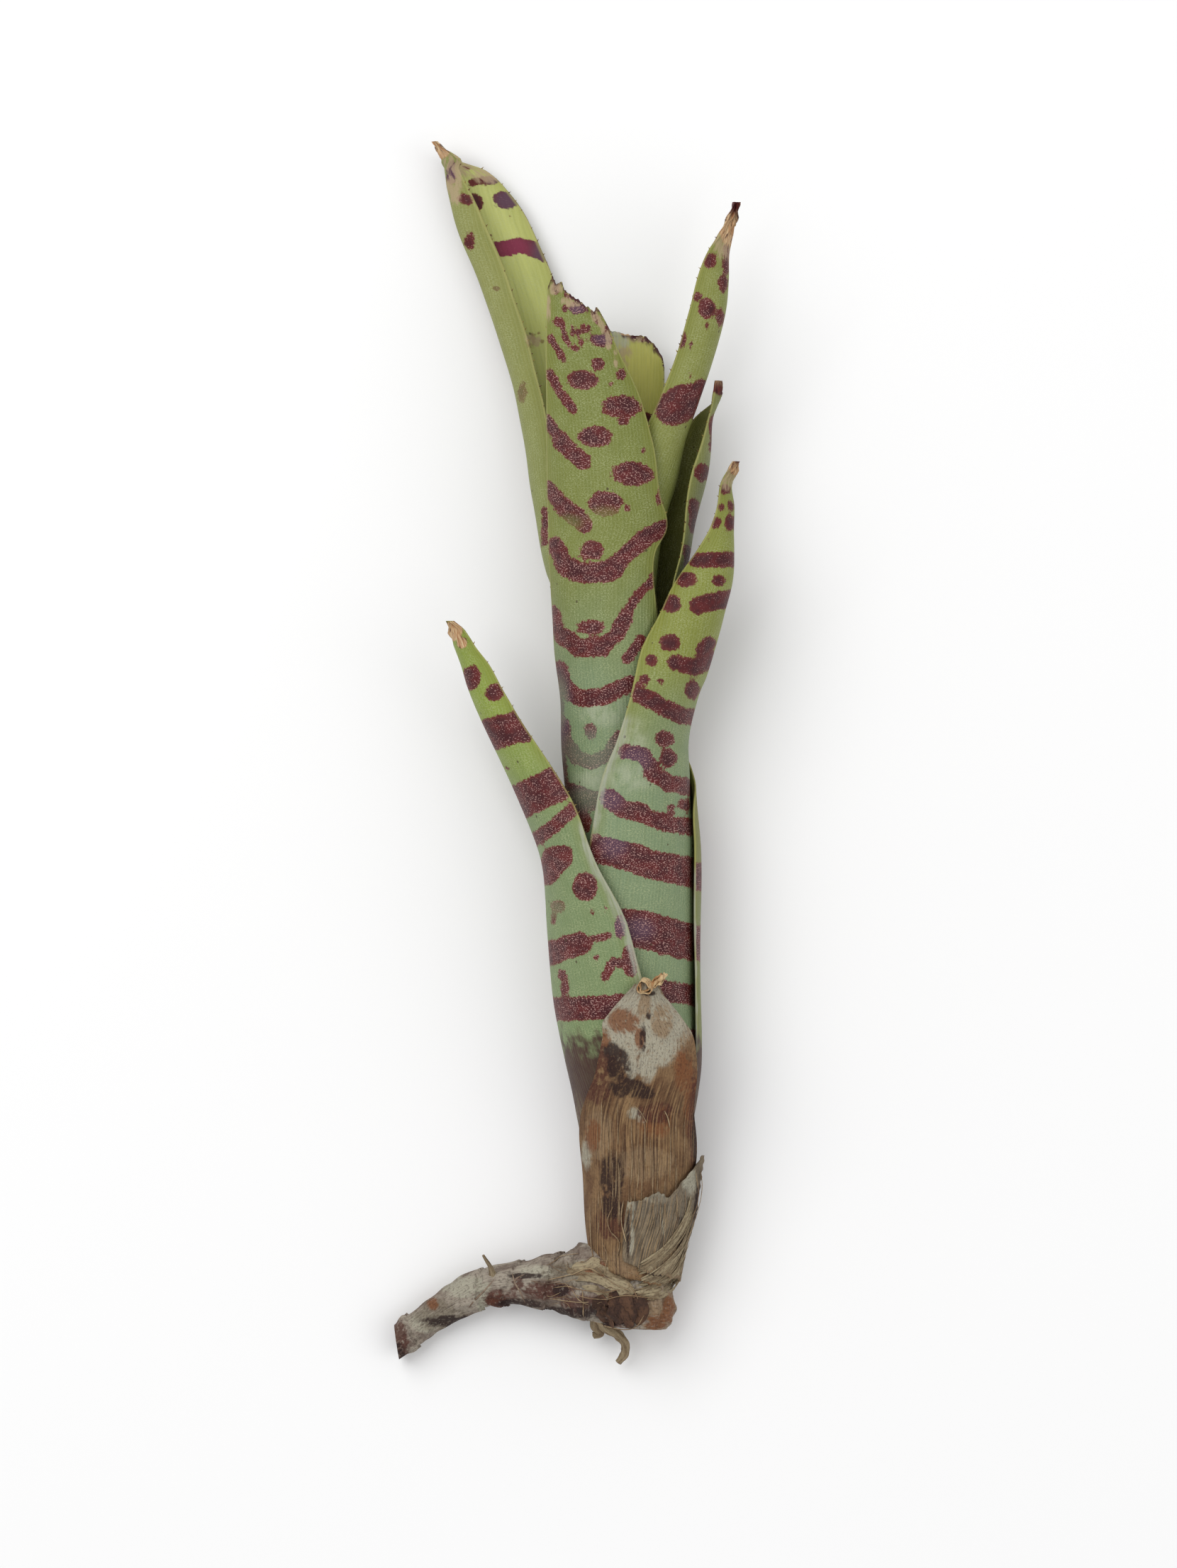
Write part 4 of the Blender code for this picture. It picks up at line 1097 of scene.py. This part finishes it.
def grow_stalk(name, stations, sides, rings, lumps, seed, scales=(), marks=None):
    """A closed round stalk with lumps (height, spread), wrapped in dry scales (foot, edge, slant).

    The first and last rings of vertices lie in its two flat cut ends.
    """
    bm = bmesh.new()
    bmesh.ops.create_grid(bm, x_segments=sides, y_segments=rings, size=1.0)
    mesh = bpy.data.meshes.new(name)
    bm.to_mesh(mesh)
    grid = read_points(mesh)
    last = len(stations) - 1
    turn = grid[:, 0] * math.pi
    ring = np.round((grid[:, 1] + 1) / 2 * rings)
    from_end = np.minimum(ring, rings - ring)
    in_cut = from_end < CUT_RINGS
    at = np.clip((ring - CUT_RINGS) / (rings - 2 * CUT_RINGS), 0, 1) * last
    centre, radius, side, up = sweep(stations, np.clip(at, END_GAP, last - END_GAP))
    shape = np.stack((np.cos(turn) * 2, np.sin(turn) * 2, at * 1.2), axis=1)
    large = lumps[0] * 0.35 * ripple(shape, lumps[1], seed)
    radius = radius * (1 + large + FINE_LUMPS[0] * ripple(shape, FINE_LUMPS[1], seed + 1))
    for foot, edge, slant in scales:
        shifted = at + slant * np.sin(turn + 0.5)
        shifted = shifted + 0.06 * np.sin(turn * 7) + 0.05 * np.sin(turn * 17 + foot)
        on = (shifted > foot) & (shifted <= edge)
        radius = radius + np.where(on, SCALE_HIGH * (shifted - foot) / (edge - foot), 0.0)
    radius *= np.where(in_cut, from_end / CUT_RINGS * (1 + 0.03 * np.sin(turn * 5 + from_end)), 1.0)
    points = centre + radius[:, None] * (np.sin(turn)[:, None] * side + np.cos(turn)[:, None] * up)
    points[:, 2] = np.maximum(points[:, 2], 0.05)

    along = at / last * np.linalg.norm(np.diff(centre[np.argsort(at)], axis=0), axis=1).sum()
    bark_skin = np.stack((turn * 3.0, along, np.full(len(at), float(seed))), axis=1)
    in_section = (np.sin(turn) * radius, np.cos(turn) * radius)
    cut_skin = np.stack((*in_section, np.full(len(at), seed + 7.0)), axis=1)
    fields = {"skin": np.where(in_cut[:, None], cut_skin, bark_skin), "tan": np.zeros(len(at))}
    for key, spots in (marks or {}).items():
        fields[key] = patch(points[:, :2], spots)
    fields["tan"] = np.maximum(fields["tan"], in_cut * CUT_TAN)
    write_attributes(mesh, fields)
    mesh.vertices.foreach_set("co", (points * MM).astype(np.float32).ravel())
    bm.clear()
    bm.from_mesh(mesh)
    bmesh.ops.remove_doubles(bm, verts=bm.verts[:], dist=SEAM)
    bmesh.ops.recalc_face_normals(bm, faces=bm.faces[:])
    bm.to_mesh(mesh)
    bm.free()
    return mesh


bark = dry_finish("runner_bark", (160, 150, 136), (120, 106, 95), (62, 46, 40), height=0.3)
stem_stations = (
    (11.5, -97.4, 6.9, 5.2), (11.7, -94.5, 6.9, 6.4), (11.7, -89.5, 6.9, 5.9), (11.6, -84.0, 6.8, 5.2),
    (12.1, -78.0, 6.9, 4.3), (12.4, -71.5, 7.2, 3.7), (12.4, -64.0, 8.1, 3.5), (12.3, -58.0, 9.5, 3.5),
    (11.9, -52.0, 10.5, 3.1), (11.4, -46.5, 11.0, 2.6), (11.2, -43.5, 11.2, 1.4),
)
stem_marks = {
    "tan": ((930, 1850, 70, 90), (945, 1840, 40, 70)),
    "orange": ((925, 1866, 40, 30), (944, 1850, 24, 50)),
    "maroon": ((868, 1850, 100, 64), (890, 1834, 60, 40)),
    "dark": ((852, 1866, 50, 30), (885, 1860, 40, 30), (846, 1836, 40, 30)),
}
mesh = grow_stalk(
    "stem", stem_stations, sides=90, rings=240, lumps=(0.25, 3.0), seed=31, marks=stem_marks,
)
add_piece("stem", mesh, bark, node="stem_and_stolon")

runner_stations = (
    (-31.6, -102.6, 3.0, 2.3), (-28.8, -100.2, 3.0, 2.4), (-26.3, -98.3, 3.0, 2.55),
    (-22.9, -95.7, 3.1, 2.55), (-19.4, -93.4, 3.3, 2.65), (-15.8, -91.6, 3.7, 2.8),
    (-12.3, -90.5, 4.2, 3.0), (-6.7, -90.0, 5.2, 3.6), (-2.0, -89.8, 6.0, 4.6),
    (1.6, -89.8, 6.5, 5.9), (4.6, -89.8, 6.8, 6.5), (9.0, -91.0, 6.9, 5.9),
)
runner_scales = ((0.6, 2.0, 0.2), (2.3, 5.4, 0.35), (5.0, 6.6, 0.3), (6.4, 8.0, 0.3))
runner_marks = {
    "orange": ((609, 1842, 22, 26), (700, 1836, 40, 26), (840, 1792, 60, 40)),
    "maroon": (
        (560, 1898, 40, 80), (730, 1820, 26, 50), (704, 1836, 60, 36), (770, 1822, 110, 34),
        (820, 1842, 80, 40), (870, 1846, 60, 50),
    ),
    # The long dark marks along the runner's lower side are painted shade.
    "dark": (
        (560, 1914, 24, 40), (640, 1868, 120, 22), (735, 1842, 90, 18), (800, 1854, 100, 24),
        (790, 1822, 30, 20), (850, 1850, 50, 30), (745, 1802, 70, 10),
    ),
    # The bleached marks along the runner's upper side are pale scales and partly painted highlight.
    "bleached": (
        (655, 1818, 90, 40), (760, 1796, 70, 24), (678, 1836, 22, 50), (820, 1794, 60, 40),
        (600, 1868, 60, 40),
    ),
    "grey": ((620, 1860, 90, 60), (800, 1800, 100, 50)),
}
CUT_PLACE = (-28.8, -100.9, 2.8)    # where the runner was cut from the mother plant
CUT_WAY = (1.0, 0.15, 0.0)
mesh = grow_stalk(
    "runner", runner_stations, sides=90, rings=420, lumps=(0.16, 3.5), scales=runner_scales,
    seed=32, marks=runner_marks,
)
bm = bmesh.new()
bm.from_mesh(mesh)
cut = bmesh.ops.bisect_plane(
    bm, geom=bm.verts[:] + bm.edges[:] + bm.faces[:], clear_inner=True,
    plane_co=Vector(CUT_PLACE) * MM, plane_no=Vector(CUT_WAY),
)
rim = [part for part in cut["geom_cut"] if isinstance(part, bmesh.types.BMEdge)]
bmesh.ops.contextual_create(bm, geom=rim)
bm.to_mesh(mesh)
bm.free()
add_piece("runner", mesh, bark, node="stem_and_stolon")

root_bark = dry_finish("root_bark", (172, 154, 124), (140, 120, 94), (84, 66, 52), height=0.2)
for name, seed, stations in (
    ("long_root", 9, (
        (5.5, -95.5, 6.0, 1.1), (6.8, -97.6, 5.4, 0.85), (8.9, -98.9, 4.6, 0.75),
        (10.0, -100.6, 4.0, 0.72), (9.9, -102.2, 3.6, 0.7), (8.8, -103.6, 3.2, 0.55),
    )),
    ("short_root", 10, (
        (5.0, -95.0, 5.0, 1.1), (4.9, -97.4, 4.4, 0.8), (5.9, -98.6, 4.0, 0.5),
        (4.6, -99.0, 3.7, 0.6),
    )),
    ("scale_spine", 11, (
        (-12.0, -90.0, 5.6, 0.9), (-12.8, -87.3, 7.6, 0.4), (-14.1, -85.0, 8.8, 0.2),
    )),
):
    mesh = grow_stalk(name, stations, sides=28, rings=60, lumps=(0.5, 2.0), seed=seed)
    add_piece(name, mesh, root_bark, node="stem_and_stolon")


# Torn strips, scales and loose fibres. The old sheath has split into strips that sweep round the
# foot, dark scales cover the end of the stem, and threads of dead leaf lie over everything.
ABOVE_ALL = 60.0         # a height that nothing on the plant reaches
SMOOTHING = (0.25, 0.5, 0.25)
STRIP_SEAM = 0.00001     # metres between vertices that are one


def points_and_faces(*names):
    """The points and faces of finished pieces."""
    points, faces = [], []
    for name in names:
        mesh, start = bpy.data.objects[name].data, len(points)
        points += [vert.co.copy() for vert in mesh.vertices]
        faces += [[start + i for i in face.vertices] for face in mesh.polygons]
    return points, faces


laid_on = BVHTree.FromPolygons(*points_and_faces(
    "papery_basal_leaf", "torn_grey_sheath", "stem", "runner", "front_left_leaf", "front_right_leaf",
    "back_leaf",
))


def lay_strip(bm, route, wide, thick, lift, tint, sides=8, rings=26):
    """Lay one fibre or strip, given in pixels, along a route of pixels on what lies under it.

    lift is in millimetres. tint moves its pattern, so that no two strips look alike.
    """
    places = np.linspace(0, len(route) - 1, rings + 1)
    plan = smooth([(i, *seen_at(*p)) for i, p in enumerate(route)], places)
    found = []
    for x, y in plan:
        hit, normal, _, _ = laid_on.ray_cast(Vector((x, y, ABOVE_ALL)) * MM, Vector((0, 0, -1)))
        found.append((hit.z / MM, *normal) if hit else None)
    known = [i for i, row in enumerate(found) if row]
    rows = np.array([found[i] for i in known])
    ground = np.stack([np.interp(range(len(found)), known, column) for column in rows.T], axis=1)
    for _ in range(3):
        padded = np.concatenate((ground[:1], ground, ground[-1:]))
        ground = sum(w * padded[i:i + len(ground)] for i, w in enumerate(SMOOTHING))
    up = ground[:, 1:] / np.linalg.norm(ground[:, 1:], axis=1)[:, None]
    centre = np.stack((plan[:, 0], plan[:, 1], ground[:, 0]), axis=1) + up * lift
    way = np.gradient(centre, axis=0)
    side = np.cross(way, up)
    side /= np.linalg.norm(side, axis=1)[:, None]
    t = np.linspace(0, 1, rings + 1)
    taper = np.clip(np.minimum(t, 1 - t) * 6, 0, 1) ** 0.6
    taper *= 0.85 + 0.15 * np.sin(t * 9 + tint)
    long = np.linalg.norm(way, axis=1).sum()
    skin = bm.verts.layers.float_vector["skin"]
    for vert in bmesh.ops.create_grid(bm, x_segments=sides, y_segments=rings, size=1.0)["verts"]:
        turn, i = vert.co.x * math.pi, round((vert.co.y + 1) / 2 * rings)
        across = math.cos(turn) * wide * PIXEL / 2 * taper[i]
        place = centre[i] + side[i] * across + up[i] * math.sin(turn) * thick * PIXEL / 2 * taper[i]
        vert[skin] = (across + tint, t[i] * long, tint)
        vert.co = Vector(place) * MM


def close_strips(bm, name, slot, *browns, height):
    """Weld the strips' seams and ends, colour them and put them in the scene as one piece."""
    bmesh.ops.remove_doubles(bm, verts=bm.verts[:], dist=STRIP_SEAM)
    bmesh.ops.recalc_face_normals(bm, faces=bm.faces[:])
    finish = dry_finish(name, *browns, height=height)
    add_piece(name, close_mesh(name, bm), finish)


# Routes of torn strips, each a bundle of four, and of broad ones with their widths
strip_routes = (
    ((975, 1690), (969, 1716), (952, 1746), (932, 1768), (902, 1786)),
    ((975, 1706), (962, 1738), (941, 1763), (916, 1784), (898, 1793)),
    ((976, 1724), (963, 1756), (945, 1779), (922, 1798), (900, 1809)),
    ((970, 1750), (957, 1779), (942, 1797), (919, 1812), (897, 1819)),
    ((965, 1770), (955, 1796), (937, 1812), (914, 1822), (894, 1825)),
    ((960, 1790), (950, 1814), (932, 1825), (909, 1829)),
)
broad_routes = (
    (((896, 1824), (866, 1812), (834, 1800), (798, 1794)), 26),
    (((890, 1806), (862, 1796), (832, 1786)), 18), (((884, 1836), (852, 1824), (820, 1814)), 14),
    (((846, 1776), (828, 1786), (806, 1790)), 16),
)
draw = np.random.default_rng(41)
bm = start_skin()
for points in strip_routes:
    for step in (-6, -2, 2, 6):
        shift = step + draw.uniform(-1.0, 1.0)
        route = []
        for px, py in points:
            px = px + shift * 0.35 + draw.uniform(-1, 1)
            py = py + shift * 0.8 + draw.uniform(-1, 1)
            route.append((px, py))
        wide, lift, tint = draw.uniform(2.5, 7.0), draw.uniform(0.05, 0.25), draw.uniform(0, 40)
        lay_strip(bm, route, wide, 1.2, lift, tint)
for route, wide in broad_routes:
    lay_strip(bm, route, wide, 0.9, 0.06, draw.uniform(0, 40), sides=20, rings=30)
close_strips(
    bm, "torn_strips", "torn_sheath", (158, 144, 116), (126, 110, 86), (74, 60, 48), height=0.1,
)

stem_scale_routes = (
    (((838, 1830), (850, 1846), (852, 1868)), 26), (((858, 1824), (868, 1842), (868, 1868)), 28),
    (((880, 1826), (886, 1846), (884, 1870)), 26), (((898, 1828), (904, 1846), (900, 1870)), 24),
    (((848, 1842), (860, 1858), (866, 1874)), 20), (((870, 1840), (880, 1856), (892, 1872)), 18),
)
bm = start_skin()
for number, (route, wide) in enumerate(stem_scale_routes):
    lay_strip(bm, route, wide, 0.9, 0.06 + 0.05 * number, 7.3 * number, sides=20, rings=24)
close_strips(
    bm, "stem_scales", "stem_and_stolon", (92, 66, 50), (62, 44, 36), (36, 27, 25), height=0.15,
)

edge_routes = (
    ((660, 1849), (668, 1838), (682, 1824), (697, 1807)),
    ((722, 1798), (726, 1812), (733, 1824), (741, 1842)),
    ((740, 1800), (728, 1806), (724, 1816)), ((748, 1808), (768, 1812), (792, 1808)),
)
bm = start_skin()
for route in edge_routes:
    lay_strip(bm, route, 2.8, 1.6, 0.02, draw.uniform(0, 40), rings=24)
close_strips(
    bm, "runner_scale_edges", "stem_and_stolon", (140, 122, 104), (110, 90, 76), (70, 52, 44),
    height=0.1,
)


def lay_thread(bm, draw, route, widths, thick, lifts, rings):
    """Lay one loose thread, its width and lift drawn from their ranges."""
    wide, lift, tint = draw.uniform(*widths), draw.uniform(*lifts), draw.uniform(0, 40)
    lay_strip(bm, route, wide, thick, lift, tint, sides=5, rings=rings)


# Routes of the threads that can be told apart, then the boxes (px, px, py, py) of the short ones
thread_routes = (
    ((770, 1833), (823, 1837), (860, 1830), (890, 1830), (913, 1835)),
    ((807, 1820), (817, 1833), (833, 1840)), ((822, 1820), (823, 1860)),
    ((833, 1863), (860, 1873), (893, 1873), (910, 1853)), ((770, 1787), (793, 1775), (818, 1770)),
    ((770, 1807), (807, 1800), (830, 1790), (850, 1800)), ((873, 1800), (893, 1820), (900, 1833)),
    ((808, 1826), (850, 1834), (884, 1828), (930, 1834)), ((840, 1786), (862, 1808), (896, 1824)),
    ((798, 1812), (842, 1822), (878, 1818)), ((984, 1640), (987, 1680), (977, 1722), (964, 1752)),
    ((979, 1650), (983, 1692), (970, 1732)), ((893, 1556), (903, 1566), (912, 1582)),
    ((936, 1564), (941, 1575), (944, 1590)), ((880, 1690), (877, 1720), (884, 1752)),
    ((860, 1735), (874, 1752), (870, 1775)), ((850, 1750), (858, 1772), (852, 1798)),
    ((866, 1700), (858, 1722), (866, 1744)), ((834, 1700), (834, 1740), (837, 1790)),
    ((936, 1692), (937, 1730), (934, 1762)),
)
sheath_fibres = (842, 972, 1545, 1690)
foot_fibres = (770, 890, 1775, 1850)
bm = start_skin()
for route in thread_routes:
    lay_thread(bm, draw, route, (1.2, 2.4), 1.0, (0.1, 0.5), rings=22)
for _ in range(50):
    px, py = draw.uniform(*sheath_fibres[:2]), draw.uniform(*sheath_fibres[2:])
    long, lean = draw.uniform(25, 90), draw.uniform(-3, 3)
    route = ((px, py), (px + lean * 0.3, py + long * 0.5), (px + lean, py + long))
    lay_thread(bm, draw, route, (0.8, 1.8), 0.8, (0.0, 0.15), rings=14)
for _ in range(40):
    px, py = draw.uniform(*foot_fibres[:2]), draw.uniform(*foot_fibres[2:])
    turn, long = draw.normal(0.15, 0.5), draw.uniform(12, 40)
    far_x, far_y = math.cos(turn) * long, math.sin(turn) * long
    bend = draw.uniform(-6, 6)
    route = ((px, py), (px + far_x / 2 + bend, py + far_y / 2 - bend), (px + far_x, py + far_y))
    lay_thread(bm, draw, route, (0.6, 1.3), 0.6, (0.0, 0.2), rings=14)
close_strips(
    bm, "loose_fibres", "papery_leaf", (160, 138, 108), (124, 100, 76), (80, 60, 46), height=0.05,
)


# The floor and the light. The plant lies on a plain pale table under soft studio light.
TABLE_HALF = 2.0       # metres
TABLE_SHADE = 0.92
SKY = 0.55             # strength of the light from all round

table_finish = Finish("table_top", roughness=0.9, specular=0.1)
table_colour = (TABLE_SHADE, TABLE_SHADE, TABLE_SHADE, 1.0)
table_finish.shader.inputs["Base Color"].default_value = table_colour
bm = bmesh.new()
bmesh.ops.create_grid(bm, x_segments=1, y_segments=1, size=TABLE_HALF)
mesh = close_mesh("table_top", bm)
mesh.materials.append(table_finish.material)
floor = bpy.data.objects.new("table_top", mesh)
bpy.context.scene.collection.objects.link(floor)

# Each light's name, place in metres, size in metres and power in watts
for name, place, size, power in (
    ("large_soft_light", (-0.5, 0.5, 1.0), 1.0, 9.0),
    ("fill_light", (0.7, -0.3, 0.9), 1.0, 3.0),
):
    light = bpy.data.lights.new(name, "AREA")
    light.size = size
    light.energy = power
    lamp = bpy.data.objects.new(name, light)
    lamp.location = place
    lamp.rotation_euler = (-Vector(place)).to_track_quat("-Z", "Y").to_euler()
    bpy.context.scene.collection.objects.link(lamp)

world = bpy.data.worlds.new("studio")
world.use_nodes = True
background = world.node_tree.nodes["Background"]
background.inputs["Color"].default_value = (1.0, 1.0, 1.0, 1.0)
background.inputs["Strength"].default_value = SKY
bpy.context.scene.world = world
bpy.context.scene.view_settings.view_transform = "Standard"
